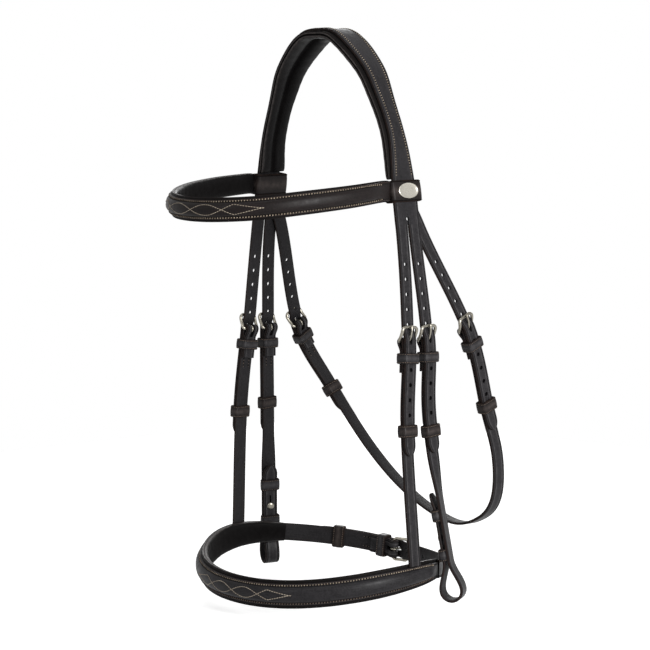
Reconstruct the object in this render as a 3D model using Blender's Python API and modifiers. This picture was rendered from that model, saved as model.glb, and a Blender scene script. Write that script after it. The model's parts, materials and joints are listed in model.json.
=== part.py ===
"""A cavesson bridle: padded headpiece and browband, cheekpieces, noseband and throatlatch.

The frame is metres, +Z up. The horse faces -Y and its left side, the near side, is +X. The origin
is the middle of the crown padding's underside, where the headpiece rests on the poll.

Every strap follows a Route, a smooth line with three directions at each length along it: down the
strap, across it and outward from the head. Pieces on a strap are placed by lengths in those three.
"""

import math

import bmesh
import bpy
import numpy as np
from mathutils import Matrix, Vector

MM = 0.001

# Leather and thread clearances
STRAP_WIDTH = 12.7 * MM
REAR_STRAP_WIDTH = 15 * MM
LEATHER = 2.2 * MM
KEEPER_LEATHER = 1.2 * MM
PLY_GAP = 0.3 * MM
SIDE_GAP = 0.4 * MM
KEEPER_GAP = 0.6 * MM
THROAT_KEEPER_GAP = 1.1 * MM
JOINT_GAP = 0.3 * MM
REAR_JOINT_GAP = 0.9 * MM
SLIT = 1.4 * MM
SLIT_EYE_RADIUS = 1.7 * MM
SLIT_LENGTH = 4.5 * MM
TIP_LENGTH = 9 * MM
CUT_OVERRUN = 2 * MM
WELD = 0.005 * MM

# Levels below the poll, at the middle of each piece
LOOP_LEVEL = 120.6 * MM
SPLIT_LEVEL = 149 * MM
BUCKLE_LEVEL = 241.5 * MM
THROAT_BUCKLE_LEVEL = 234.6 * MM
THROAT_FAR_BUCKLE_LEVEL = 240 * MM
KEEPER_LEVEL = 312 * MM
NOSE_LEVEL = 423 * MM
BIT_LEVEL = 443 * MM
FAR_RISE = 4 * MM

# Half widths of the bridle at those levels
LOOP_SPREAD = 80 * MM
SPLIT_SPREAD = 84.3 * MM
BUCKLE_SPREAD = 94.2 * MM
NOSE_KEEPER_SPREAD = 98.2 * MM
CHEEK_KEEPER_SPREAD = 95.5 * MM
NOSE_SPREAD = 105 * MM
BIT_SPREAD = 111 * MM

# Crown: it leans forward over the poll
POLL_FORWARD = 5.5 * MM
CROWN_HALF_WIDTH = 47.5 * MM
CROWN_LOOP_WIDTH = 27 * MM
CROWN_EAR_WIDTH = 18 * MM
CROWN_POLL_WIDTH = 27 * MM
PADDING_BORDER = 2.5 * MM
PADDING_POLL_BORDER = 4.5 * MM
CROWN_PADDING = 6 * MM
CROWN_BEND = 72 * MM
THROAT_LAYER_SET_BACK = 2.6 * MM
THROAT_SPLIT_BACK = 15 * MM
TAB_GAP = 0.6 * MM

# Browband
BROW_DEPTH = 151 * MM
BROW_HALF_WIDTH = 82 * MM
BROW_DROP = 15 * MM
BROW_TILT = 2 * MM
BROW_PADDING_HEIGHT = 18.5 * MM
BROW_END_HEIGHT = 16.5 * MM
BROW_FRONT_HEIGHT = 15 * MM
BROW_PADDING = 5 * MM
BROW_FRONT = 4.2 * MM
LOOP_HEIGHT = 17.5 * MM
LOOP_LEATHER = 1.8 * MM
LOOP_CLEARANCE = 1.1 * MM
LOOP_TILT_ROOM = 1.5 * MM
BADGE_LENGTH = 22 * MM
BADGE_HEIGHT = 12.5 * MM
BADGE_THICKNESS = 1.2 * MM

# Noseband
NOSE_RING_DEPTH = 94 * MM
NOSE_RING_FORWARD = 15 * MM
NOSE_DROP = 16.5 * MM
NOSE_REAR_DROP = 3 * MM
NOSE_REAR_LEAN = 9 * MM
NOSE_FAR_LIFT = 5 * MM
NOSE_NEAR_LIFT = 3.5 * MM
NOSE_PADDING_HEIGHT = 22 * MM
NOSE_END_HEIGHT = 15 * MM
NOSE_TAPER_START = 110 * MM
NOSE_FRONT_HEIGHT = 17 * MM
NOSE_PADDING = 6 * MM
NOSE_FRONT = 4.6 * MM
NOSE_PADDING_HALF_LENGTH = 204 * MM
NOSE_FRONT_HALF_LENGTH = 196 * MM
HANGER_LAP = 1.4 * MM

# Places fore and aft
NOSE_BUCKLE_FORWARD = 9.4 * MM
NOSE_KEEPER_FORWARD = 14.6 * MM
HANGER_FORWARD = 12 * MM
CHEEK_BUCKLE_BACK = 12.8 * MM
CHEEK_KEEPER_BACK = 14.2 * MM
BIT_BACK = 29 * MM
THROAT_BUCKLE_BACK = 53.6 * MM
THROAT_BUCKLE_SPREAD = 100 * MM

# Throatlatch, as it hangs: it is lowest towards the near side
THROAT_BACK = 92 * MM
THROAT_NEAR_SPREAD = 100 * MM
THROAT_FAR_SPREAD = 95 * MM
THROAT_DEPTH = 401.5 * MM

# Buckles
WIRE_RADIUS = 1.2 * MM
TONGUE_RADIUS = 0.85 * MM
FRAME_LENGTH = 11.5 * MM
FRAME_CORNER = 3.2 * MM
CREW_SLOT_WIDTH = 3.4 * MM
CREW_SLOT_REACH = 7 * MM
RETURN_PLY = 25 * MM
FOLD_CLOSE = 8 * MM
RISE_START = 12.5 * MM
RISE_END = 1 * MM

# Holes and billets
HOLE_RADIUS = 1.7 * MM
HOLE_SPACING = 12 * MM
TONGUE_HOLE_UP = 1.6 * MM
TONGUE_HOLE_HALF_LENGTH = 4.2 * MM
TONGUE_HOLE_HALF_WIDTH = 1.5 * MM
BILLET_LENGTH = 91 * MM
REAR_BILLET_LENGTH = 78 * MM
HOLES_EACH_WAY = 5
REAR_HOLES_EACH_WAY = 3

# Keepers
FIXED_KEEPER_DOWN = 13.5 * MM
FIXED_KEEPER_HEIGHT = 8.6 * MM
LOOP_KEEPER_HEIGHT = 10 * MM
KEEPER_CORNER = 1.4 * MM
NOSE_KEEPER_DOWN = 71 * MM
NEAR_CHEEK_KEEPER_DOWN = 73 * MM
FAR_CHEEK_KEEPER_DOWN = 65 * MM
THROAT_KEEPER_DOWN = 69 * MM
REAR_KEEPER_DOWN = 56.5 * MM

# Bit loops: the cheekpiece turns inward and back up through two keepers, and hooks on a stud
BIT_TWIST = math.radians(25)
BIT_TWIST_DOWN = 90 * MM
BIT_LOOP_RADIUS = 8.7 * MM
BIT_LOOP_NECK = 24 * MM
BIT_RETURN = 80 * MM
RETURN_FLARE = 3 * MM
STUD_UP = 43 * MM
UPPER_HOOK_KEEPER_UP = 62 * MM
LOWER_HOOK_KEEPER_UP = 29.5 * MM
STUD_STEM_RADIUS = 1.5 * MM
STUD_HEAD_RADIUS = 3.1 * MM
STUD_HEAD = 1.7 * MM
KEYHOLE_HALF_WIDTH = 1.9 * MM
KEYHOLE_LENGTH = 11 * MM

# How finely curved lines are stepped
STRAIGHT_STEP = 20 * MM
CURVE_STEP = 7 * MM
BEND_STEP = 2.6 * MM
PAD_STEP = 8 * MM

PLY_STEP = LEATHER + PLY_GAP
FOLD_RADIUS = WIRE_RADIUS + PLY_GAP + LEATHER / 2
HOOK_STEP = LEATHER + KEEPER_LEATHER + 2 * PLY_GAP
TOP_BAR_OUT = LEATHER / 2 + PLY_GAP + WIRE_RADIUS
PAIR_OFFSET = (STRAP_WIDTH + SLIT) / 2
CROWN_RISE = CROWN_PADDING + PLY_GAP + LEATHER / 2

DARK_LEATHER = (0.022, 0.018, 0.017, 1)
BROWN_LEATHER = (0.04, 0.028, 0.022, 1)
LINING_LEATHER = (0.018, 0.016, 0.016, 1)
STEEL = (0.55, 0.52, 0.47, 1)

# Shares of a section's half height and thickness, round its outline
CUSHION_SHARES = (
    (-0.86, 0.0), (0.86, 0.0), (0.99, 0.3), (0.98, 0.65), (0.8, 0.95),
    (0.4, 1.0), (-0.4, 1.0), (-0.8, 0.95), (-0.98, 0.65), (-0.99, 0.3),
)
TWO_ROLL_SHARES = (
    (-0.84, 0.0), (0.84, 0.0), (0.98, 0.25), (1.0, 0.6), (0.86, 0.94), (0.6, 1.0), (0.32, 0.88),
    (0.1, 0.56), (-0.1, 0.56), (-0.32, 0.88), (-0.6, 1.0), (-0.86, 0.94), (-1.0, 0.6), (-0.98, 0.25),
)
RAISED_SHARES = (
    (-1.0, 0.0), (-1.0, 0.3), (-0.8, 0.4), (-0.62, 0.8), (-0.3, 1.0),
    (0.3, 1.0), (0.62, 0.8), (0.8, 0.4), (1.0, 0.3), (1.0, 0.0),
)
# Shares of the tip's length, with the share of the width there
TIP_SHARES = ((0.0, 0.2), (0.1, 0.5), (0.3, 0.76), (0.6, 0.94), (1.0, 1.0))
CROWN_WIDTH_SHARES = (0.0, 0.16, 0.5, 0.62, 0.86, 1.0)
# The crown's line: shares of its half width, of its flare, of its rise and of the loops' level
CROWN_LINE_SHARES = (
    (0.45, 0.0, 0.45, 0.0), (1.0, 0.0, 0.0, -0.17), (1.0, 0.4, 0.0, -0.365), (1.0, 0.82, 0.0, -0.66),
)
# The browband's line: shares of its half width, depth and drop
BROW_LINE_SHARES = (
    (0.34, 0.968, 0.94), (0.65, 0.85, 0.78), (0.88, 0.65, 0.5), (1.0, 0.4, 0.22), (0.985, 0.17, 0.0),
)
# The throatlatch's line: shares of its spread, of its set-back and of its drop below its buckles
THROAT_NEAR_SHARES = (
    (0.97, 0.87, 0.399), (1.0, 0.985, 0.639), (0.98, 1.0, 0.844), (0.82, 1.0, 0.959), (0.5, 1.0, 1.0),
    (0.0, 1.0, 0.887),
)
THROAT_FAR_SHARES = ((-0.5, 1.0, 0.672), (-0.96, 0.94, 0.354))
# Shares of the frame's length and of the tongue's height over the bar, up the tongue
TONGUE_SHARES = ((-0.07, 0.34), (0.03, 0.52), (0.18, 0.68), (0.4, 0.84), (0.72, 0.97), (1.13, 1.0))
EYE_SEGMENTS = 8
HOLE_SEGMENTS = 6
CORNER_STEPS = 2
TONGUE_WRAP_START = math.radians(285)
TONGUE_WRAP_END = math.radians(55)
TONGUE_WRAP_STEPS = 7
REAR_BUCKLE_ANGLE = 183.5
REAR_ARC = 80


def clear_scene():
    for obj in list(bpy.data.objects):
        bpy.data.objects.remove(obj, do_unlink=True)


def new_collection(name):
    collection = bpy.data.collections.new(name)
    bpy.context.scene.collection.children.link(collection)
    return collection


def leather(name, colour, roughness=0.55):
    material = bpy.data.materials.new(name)
    material.use_nodes = True
    shader = material.node_tree.nodes["Principled BSDF"]
    shader.inputs["Base Color"].default_value = colour
    shader.inputs["Roughness"].default_value = roughness
    return material


def steel(name):
    material = leather(name, STEEL, 0.28)
    material.node_tree.nodes["Principled BSDF"].inputs["Metallic"].default_value = 1
    return material


class Route:
    """A smooth line through points, with lengths measured from one of them.

    At each length it has the direction down the strap, the direction across it, and outward, their
    cross product. A far route's points are given as if on the near side, and mirrored in x. The
    points lie fore and aft of the browband loops, and the line is moved back so that the poll,
    further forward, is at zero. A route may start along a given direction. It may twist about
    itself, from a length down it to a length up from its end, by a full angle that turns its
    outward side back.
    """

    STEPS = 24

    def __init__(self, points, zero, across, side=1, entry=None, twist=None):
        knots = np.array(points, dtype=float) + np.array((0, POLL_FORWARD, 0))
        before = 2 * knots[0] - knots[1]
        if entry is not None:
            before = knots[1] - 2 * np.linalg.norm(knots[1] - knots[0]) * np.array(entry)
        ends = np.vstack([before, knots, 2 * knots[-1] - knots[-2]])
        share = np.linspace(0, 1, self.STEPS, endpoint=False)[:, None]
        pieces = [self.between(ends[i:i + 4], share) for i in range(len(knots) - 1)]
        line = np.vstack(pieces + [knots[-1:]])
        steps = np.linalg.norm(np.diff(line, axis=0), axis=1)
        lengths = np.concatenate([[0], np.cumsum(steps)])
        self.lengths = lengths - lengths[zero * self.STEPS]
        down = np.gradient(line, lengths, axis=0)
        down /= np.linalg.norm(down, axis=1)[:, None]
        sideways = np.array(across) - (down @ np.array(across))[:, None] * down
        sideways /= np.linalg.norm(sideways, axis=1)[:, None]
        outward = np.cross(down, sideways)
        if twist is not None:
            start, end_up, full = twist
            share = np.clip((self.lengths - start) / (self.lengths[-1] - end_up - start), 0, 1)
            turn = full * (share**2 * (3 - 2 * share))[:, None]
            outward = outward * np.cos(turn) + sideways * np.sin(turn)
        mirror = np.array([side, 1, 1])
        self.line, self.down, self.outward = line * mirror, down * mirror, outward * mirror
        self.across = np.cross(self.outward, self.down)

    @staticmethod
    def between(four, share):
        """The Catmull-Rom cubic from the second of four points to the third."""
        before, start, end, after = four
        return 0.5 * (
            2 * start
            + (end - before) * share
            + (2 * before - 5 * start + 4 * end - after) * share**2
            + (3 * start - before - 3 * end + after) * share**3
        )

    def read(self, values, length):
        return np.stack([np.interp(length, self.lengths, column) for column in values.T], axis=-1)

    def place(self, length, across, outward):
        """World points at a length down the line, a distance across it and one outward."""
        length = np.asarray(length, dtype=float)
        beyond = length - np.clip(length, self.lengths[0], self.lengths[-1])
        return (
            self.read(self.line, length)
            + beyond[..., None] * self.read(self.down, length)
            + np.asarray(across)[..., None] * self.read(self.across, length)
            + np.asarray(outward)[..., None] * self.read(self.outward, length)
        )

    def matrix(self, length, across=0.0, outward=0.0):
        """Axes down, across and outward, at a place on the line."""
        down = Vector(self.read(self.down, length)).normalized()
        out = Vector(self.read(self.outward, length)).normalized()
        sideways = out.cross(down).normalized()
        out = down.cross(sideways)
        turn = Matrix((down, sideways, out)).transposed().to_4x4()
        return Matrix.Translation(Vector(self.place(length, across, outward))) @ turn


def add_object(name, data, material, matrix=None):
    obj = bpy.data.objects.new(name, data)
    if material:
        data.materials.append(material)
    PARTS.objects.link(obj)
    if matrix:
        obj.matrix_world = matrix
    return obj


def hang(name, point, earlier):
    """An empty on a joint's axis, parent of every piece that is not among the earlier ones."""
    pivot = bpy.data.objects.new(name, None)
    pivot.location = point
    for piece in set(PARTS.objects) - earlier:
        piece.parent = pivot
        piece.matrix_parent_inverse = Matrix.Translation(point).inverted()
    PARTS.objects.link(pivot)


def mesh_from(name, bm):
    mesh = bpy.data.meshes.new(name)
    bm.to_mesh(mesh)
    bm.free()
    return mesh


def smooth(mesh):
    mesh.shade_smooth()
    mesh.set_sharp_from_angle(angle=math.radians(40))


def thicken(obj, thickness, offset=0.0):
    solid = obj.modifiers.new("Leather", "SOLIDIFY")
    solid.thickness = thickness
    solid.offset = offset
    solid.use_even_offset = True
    return obj


def strap(name, route, path, widths, material, thickness=LEATHER):
    """A flat strap: a grid whose rows follow path, of (length, outward) pairs, given a thickness."""
    path = np.array(path, dtype=float)
    widths = np.broadcast_to(widths, len(path))
    bm = bmesh.new()
    bmesh.ops.create_grid(bm, x_segments=len(path) - 1, y_segments=1, size=1)
    for vert in bm.verts:
        row = round((vert.co.x + 1) / 2 * (len(path) - 1))
        length, outward = path[row]
        vert.co = Vector(route.place(length, vert.co.y * widths[row] / 2, outward))
    mesh = mesh_from(name, bm)
    return thicken(add_object(name, mesh, material), thickness)


def loft(name, rings, material):
    """A closed solid through a row of outlines that change along it, with flat ends."""
    bm = bmesh.new()
    rows = [[bm.verts.new(point) for point in ring] for ring in rings]
    count = len(rows[0])
    for row, after in zip(rows, rows[1:]):
        for i in range(count):
            k = (i + 1) % count
            bm.faces.new((row[i], row[k], after[k], after[i]))
    bm.faces.new(rows[0])
    bm.faces.new(rows[-1])
    bmesh.ops.recalc_face_normals(bm, faces=bm.faces)
    mesh = mesh_from(name, bm)
    smooth(mesh)
    return add_object(name, mesh, material)


def sweep(name, route, lengths, half_widths, thickness, shares, top, material):
    """A loft along a route. Shares give the outline, outward from top where thickness is positive."""
    half_widths = np.broadcast_to(half_widths, len(lengths))
    thickness = np.broadcast_to(thickness, len(lengths))
    shares = np.array(shares)
    rings = [
        route.place(np.full(len(shares), length), shares[:, 0] * half, top + shares[:, 1] * depth)
        for length, half, depth in zip(lengths, half_widths, thickness)
    ]
    return loft(name, rings, material)


def band(name, matrix, half_width, low, high, height, thickness, material):
    """A keeper: a flat band bent into a closed rounded loop round the strap, inside sizes given."""
    half = half_width + thickness / 2
    low, high = low - thickness / 2, high + thickness / 2
    corners = ((1, 1), (-1, 1), (-1, -1), (1, -1))
    outline = []
    for quarter, (across, out) in enumerate(corners):
        centre = (across * (half - KEEPER_CORNER), (high if out > 0 else low) - out * KEEPER_CORNER)
        for step in range(CORNER_STEPS + 1):
            angle = math.pi / 2 * (quarter + step / CORNER_STEPS)
            outline.append((
                centre[0] + KEEPER_CORNER * math.cos(angle),
                centre[1] + KEEPER_CORNER * math.sin(angle),
            ))
    bm = bmesh.new()
    bmesh.ops.create_grid(bm, x_segments=len(outline), y_segments=1, size=1)
    for vert in bm.verts:
        corner = outline[round((vert.co.x + 1) / 2 * len(outline)) % len(outline)]
        vert.co = (vert.co.y * height / 2, corner[0], corner[1])
    bmesh.ops.remove_doubles(bm, verts=bm.verts, dist=WELD)
    mesh = mesh_from(name, bm)
    return thicken(add_object(name, mesh, material, matrix), thickness)


def wire(name, points, radii, matrix, material, closed=False):
    """A bent wire of round section through points in the matrix's axes."""
    curve = bpy.data.curves.new(name, "CURVE")
    curve.dimensions = "3D"
    curve.bevel_depth = max(radii)
    curve.bevel_resolution = 1
    curve.use_fill_caps = not closed
    spline = curve.splines.new("POLY")
    spline.points.add(len(points) - 1)
    for knot, point, radius in zip(spline.points, points, radii):
        knot.co = (*point, 1)
        knot.radius = radius / curve.bevel_depth
    spline.use_cyclic_u = closed
    spline.use_smooth = True
    return add_object(name, curve, material, matrix)


def cut(obj, cutter_mesh, name="Cut"):
    """Takes the cutter mesh, in world space, out of the object."""
    cutter = bpy.data.objects.new(obj.name + "_cutter", cutter_mesh)
    cutter.hide_render = True
    cutter.display_type = "WIRE"
    CUTTERS.objects.link(cutter)
    boolean = obj.modifiers.new(name, "BOOLEAN")
    boolean.operation = "DIFFERENCE"
    boolean.solver = "EXACT"
    boolean.object = cutter


def add_cylinder(bm, matrix, radius, depth, segments):
    bmesh.ops.create_cone(
        bm, cap_ends=True, segments=segments, radius1=radius, radius2=radius, depth=depth, matrix=matrix
    )


def add_box(bm, matrix, lengths, acrosses, outs):
    """A box between two places in each of the matrix's axes."""
    spans = (lengths, acrosses, outs)
    middle = Vector([(low + high) / 2 for low, high in spans])
    size = Matrix.Diagonal([high - low for low, high in spans]).to_4x4()
    bmesh.ops.create_cube(bm, size=1, matrix=matrix @ Matrix.Translation(middle) @ size)


def row_of(start, stop, step):
    """Lengths from start to stop in even steps no longer than step."""
    return np.linspace(start, stop, max(2, math.ceil(abs(stop - start) / step) + 1))


def billet_rise(length):
    """How far outward a billet lies: behind the buckle's top bar, then over the strap below it."""
    share = np.clip((np.asarray(length) + RISE_START) / (RISE_START - RISE_END), 0, 1)
    return PLY_STEP * share**2 * (3 - 2 * share)


def tip(start, inward, width):
    """Lengths and widths of a strap's round point, from its end inward."""
    shares = np.array(TIP_SHARES)
    return start + inward * shares[:, 0] * TIP_LENGTH, shares[:, 1] * width


def make_billet(name, route, top, bottom, width, holes, step, material):
    """A strap end with holes, from its top end down through the buckle to its point."""
    tip_lengths, tip_widths = tip(bottom, -1, width)
    lengths = np.concatenate([
        row_of(top, -RISE_START, step)[:-1],
        row_of(-RISE_START, -RISE_END, BEND_STEP)[:-1],
        row_of(-RISE_END, bottom - TIP_LENGTH, step)[:-1],
        tip_lengths[::-1],
    ])
    widths = np.full(len(lengths), width)
    widths[-len(tip_widths):] = tip_widths[::-1]
    piece = strap(name, route, np.column_stack([lengths, billet_rise(lengths)]), widths, material)
    bm = bmesh.new()
    for place in range(-holes, holes + 1):
        length = -TONGUE_HOLE_UP + place * HOLE_SPACING
        matrix = route.matrix(length, 0.0, float(billet_rise(length)))
        depth = 2 * LEATHER + CUT_OVERRUN
        if place:
            add_cylinder(bm, matrix, HOLE_RADIUS, depth, HOLE_SEGMENTS)
        else:
            stretch = Matrix.Diagonal((TONGUE_HOLE_HALF_LENGTH / TONGUE_HOLE_HALF_WIDTH, 1, 1)).to_4x4()
            add_cylinder(bm, matrix @ stretch, TONGUE_HOLE_HALF_WIDTH, depth, EYE_SEGMENTS)
    cut(piece, mesh_from(name + "_holes", bm))
    return piece


def fold_path():
    """The chape round the buckle's bar, from the end of its return ply to its outer ply."""
    lengths = row_of(RETURN_PLY, FOLD_CLOSE, STRAIGHT_STEP)
    path = [(length, -PLY_STEP) for length in lengths]
    for length in row_of(FOLD_CLOSE, 0, BEND_STEP)[1:-1]:
        share = 1 - length / FOLD_CLOSE
        ease = share**2 * (3 - 2 * share)
        path.append((length, -PLY_STEP - ease * (2 * FOLD_RADIUS - PLY_STEP)))
    for angle in np.linspace(-90, 90, 7):
        turn = math.radians(angle)
        path.append((-FOLD_RADIUS * math.cos(turn), -FOLD_RADIUS + FOLD_RADIUS * math.sin(turn)))
    return path


def crew_slot(route):
    """The slot through the fold, in which the tongue turns."""
    bm = bmesh.new()
    add_box(
        bm,
        route.matrix(0.0, 0.0, -FOLD_RADIUS),
        (-FOLD_RADIUS - LEATHER, CREW_SLOT_REACH),
        (-CREW_SLOT_WIDTH / 2, CREW_SLOT_WIDTH / 2),
        (-FOLD_RADIUS - LEATHER, FOLD_RADIUS + LEATHER),
    )
    return bm


def make_buckle(name, route, width):
    """An arched wire frame and its tongue, both on the chape's bar. Returns their common matrix."""
    bar = route.matrix(0.0, 0.0, -FOLD_RADIUS)
    half = width / 2 + SIDE_GAP + WIRE_RADIUS
    rise = FOLD_RADIUS + TOP_BAR_OUT
    outline = [(length, side, rise * math.sin(math.pi / 2 * min(1, max(0, -length / FRAME_LENGTH))))
               for length, side in frame_outline(half)]
    wire(name + "_frame", outline, [WIRE_RADIUS] * len(outline), bar, STEEL_MATERIAL, closed=True)
    make_tongue(name + "_tongue", bar, rise)
    return bar


def frame_outline(half):
    """The buckle frame seen flat: a bar at length zero, two sides and a top bar with round corners."""
    outline = [(0.0, -half + WIRE_RADIUS), (0.0, 0.0), (0.0, half - WIRE_RADIUS)]
    outline += [(-WIRE_RADIUS, half), (-FRAME_LENGTH / 2, half)]
    for side in (1, -1):
        for step in range(3):
            angle = math.radians(45 * step if side > 0 else 90 - 45 * step)
            outline.append((
                -FRAME_LENGTH + FRAME_CORNER * (1 - math.sin(angle)),
                side * (half - FRAME_CORNER + FRAME_CORNER * math.cos(angle)),
            ))
    outline += [(-FRAME_LENGTH / 2, -half), (-WIRE_RADIUS, -half)]
    return outline


def make_tongue(name, bar, rise):
    """A wire wrapped round the bar that leaves it outward, through the billet, to lie on the top bar."""
    wrap = WIRE_RADIUS + PLY_GAP + TONGUE_RADIUS
    points = [
        (wrap * math.sin(turn), 0.0, wrap * math.cos(turn))
        for turn in np.linspace(TONGUE_WRAP_START, TONGUE_WRAP_END, TONGUE_WRAP_STEPS)
    ]
    over = rise + WIRE_RADIUS + PLY_GAP + TONGUE_RADIUS
    for length_share, out_share in TONGUE_SHARES:
        points.append((-length_share * FRAME_LENGTH, 0.0, out_share * over))
    radii = [TONGUE_RADIUS] * len(points)
    wire(name, points, radii, bar, STEEL_MATERIAL)


def make_keepers(name, route, width, down, material, gap=KEEPER_GAP):
    """The fixed keeper near the buckle, round all three plies, and the loop keeper, which slides.

    The gap is the loop keeper's clearance over the straps, more where they curve.
    """
    half = width / 2 + SIDE_GAP
    reach = LEATHER / 2 + KEEPER_GAP
    band(
        name + "_fixed_keeper", route.matrix(FIXED_KEEPER_DOWN), half,
        -PLY_STEP - reach, PLY_STEP + reach, FIXED_KEEPER_HEIGHT, KEEPER_LEATHER, material,
    )
    band(
        name + "_loop_keeper", route.matrix(down), half,
        -LEATHER / 2 - gap, PLY_STEP + LEATHER / 2 + gap, LOOP_KEEPER_HEIGHT, KEEPER_LEATHER, material,
    )


def crown_points(set_back=0.0, split_back=0.0):
    """The crown's line, from the far split over the poll down to the near split."""
    flare = LOOP_SPREAD - CROWN_HALF_WIDTH
    near = [
        (CROWN_HALF_WIDTH * half + flare * out, 0.0, CROWN_RISE * rise + LOOP_LEVEL * level)
        for half, out, rise, level in CROWN_LINE_SHARES
    ]
    near.append((LOOP_SPREAD, set_back, -LOOP_LEVEL))
    near.append((SPLIT_SPREAD, set_back + split_back, -SPLIT_LEVEL))
    near = [(x, y - POLL_FORWARD * (1 - min(1, -z / LOOP_LEVEL)), z) for x, y, z in near]
    far = [(-x, y, z) for x, y, z in reversed(near)]
    return far + [(0.0, -POLL_FORWARD, CROWN_RISE)] + near


def crown_width(lengths, end, loop, ear, poll):
    """The headpiece's width: wide at the poll and the loops, narrow behind the ears."""
    at = np.array(CROWN_WIDTH_SHARES) * end
    widths = (poll, poll, ear, ear, loop, loop)
    return np.interp(np.abs(lengths), at, widths)


def crown_rows(end):
    """Lengths along the crown, close together where it bends over the poll."""
    side = np.concatenate([row_of(0, CROWN_BEND, CURVE_STEP)[:-1], row_of(CROWN_BEND, end, PAD_STEP)])
    return np.concatenate([-side[:0:-1], side])


def make_headpiece():
    route = Route(crown_points(), 6, (0, 1, 0))
    end = route.lengths[-1]
    lengths = crown_rows(end)
    widths = crown_width(lengths, end, CROWN_LOOP_WIDTH, CROWN_EAR_WIDTH, CROWN_POLL_WIDTH)
    piece = strap("headpiece_strap", route, [(s, 0.0) for s in lengths], widths, DARK)
    bm = bmesh.new()
    for side in (-1, 1):
        eye = side * (end - SLIT_LENGTH)
        add_cylinder(bm, route.matrix(eye), SLIT_EYE_RADIUS, 2 * LEATHER, EYE_SEGMENTS)
    cut(piece, mesh_from("slit_eyes", bm), "Eyes")
    bm = bmesh.new()
    for side in (-1, 1):
        span = sorted((0.0, -side * (SLIT_LENGTH + CUT_OVERRUN)))
        matrix = route.matrix(side * (end + CUT_OVERRUN))
        add_box(bm, matrix, span, (-SLIT / 2, SLIT / 2), (-LEATHER, LEATHER))
    cut(piece, mesh_from("slits", bm), "Slits")

    loop_place = route.lengths[11 * Route.STEPS]
    padding_end = loop_place - LOOP_HEIGHT / 2 - BROW_TILT - LOOP_TILT_ROOM
    lengths = crown_rows(padding_end)
    top = -LEATHER / 2 - PLY_GAP
    widths = crown_width(
        lengths, end, CROWN_LOOP_WIDTH, CROWN_EAR_WIDTH + 2 * PADDING_BORDER,
        CROWN_POLL_WIDTH + 2 * PADDING_POLL_BORDER,
    )
    sweep("crown_padding", route, lengths, widths / 2, -CROWN_PADDING, TWO_ROLL_SHARES, top, LINING)

    inner = Route(
        crown_points(THROAT_LAYER_SET_BACK, THROAT_SPLIT_BACK - THROAT_LAYER_SET_BACK), 6, (0, 1, 0)
    )
    start = inner.lengths[11 * Route.STEPS] - LOOP_HEIGHT / 2
    for name, side in (("left", 1), ("right", -1)):
        lengths = side * row_of(start, inner.lengths[-1], CURVE_STEP)
        strap(f"throat_tab_{name}", inner, [(s, -LEATHER - TAB_GAP) for s in lengths], STRAP_WIDTH, DARK)
    return route, loop_place, inner


def brow_points():
    """The browband's line from the far loop round the front to the near loop."""
    near = [
        (BROW_HALF_WIDTH * half, -BROW_DEPTH * depth, -LOOP_LEVEL - BROW_DROP * drop)
        for half, depth, drop in BROW_LINE_SHARES
    ]
    near.append((LOOP_SPREAD, -loop_reach(), -LOOP_LEVEL))
    far = [(-x, y, z) for x, y, z in reversed(near)]
    points = far + [(0.0, -BROW_DEPTH, -LOOP_LEVEL - BROW_DROP)] + near
    return [(x, y, z - BROW_TILT * x / LOOP_SPREAD) for x, y, z in points]


def loop_reach():
    """Half the outside length of a browband loop, fore and aft."""
    return CROWN_LOOP_WIDTH / 2 + LOOP_CLEARANCE + LOOP_LEATHER + JOINT_GAP


def make_browband(crown, loop_place):
    route = Route(brow_points(), 6, (0, 0, 1))
    end = route.lengths[-1]
    lengths = row_of(-end, end, PAD_STEP)
    taper = (np.abs(lengths) / end) ** 2
    half = (BROW_PADDING_HEIGHT - (BROW_PADDING_HEIGHT - BROW_END_HEIGHT) * taper) / 2
    sweep("browband_padding", route, lengths, half, -BROW_PADDING, CUSHION_SHARES, 0.0, LINING)
    half = BROW_FRONT_HEIGHT / 2
    sweep("browband_front", route, lengths, half, BROW_FRONT, RAISED_SHARES, PLY_GAP, BROWN)
    low = -PLY_STEP - LEATHER / 2 - LOOP_CLEARANCE
    high = LEATHER / 2 + LOOP_CLEARANCE
    for name, side in (("left", 1), ("right", -1)):
        band(
            "browband_loop_" + name, crown.matrix(side * loop_place + BROW_TILT),
            CROWN_LOOP_WIDTH / 2 + LOOP_CLEARANCE, low, high, LOOP_HEIGHT, LOOP_LEATHER, BROWN,
        )
    out = high + LOOP_LEATHER + PLY_GAP + BADGE_THICKNESS / 2
    bm = bmesh.new()
    size = Matrix.Diagonal((BADGE_HEIGHT / 2, BADGE_LENGTH / 2, BADGE_THICKNESS)).to_4x4()
    bmesh.ops.create_cone(bm, cap_ends=True, segments=20, radius1=1, radius2=1, depth=1, matrix=size)
    mesh = mesh_from("badge_plate", bm)
    add_object("badge_plate", mesh, STEEL_MATERIAL, crown.matrix(loop_place + BROW_TILT, 0.0, out))
    return route


def ring_level(turn):
    """How far the noseband's middle lies below the poll, at an angle from the front."""
    front_share = ((1 + math.cos(turn)) / 2) ** 2
    rear_share = ((1 - math.cos(turn)) / 2) ** 2
    near_share = (1 + math.sin(turn)) / 2
    drop = NOSE_DROP * front_share + NOSE_REAR_DROP * rear_share
    lean = NOSE_REAR_LEAN * rear_share**3 * near_share + FAR_RISE * math.sin(turn)
    lift = NOSE_FAR_LIFT * max(0, -math.sin(turn)) ** 6 + NOSE_NEAR_LIFT * max(0, math.sin(turn)) ** 3
    return NOSE_LEVEL + drop + lean - lift


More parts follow.
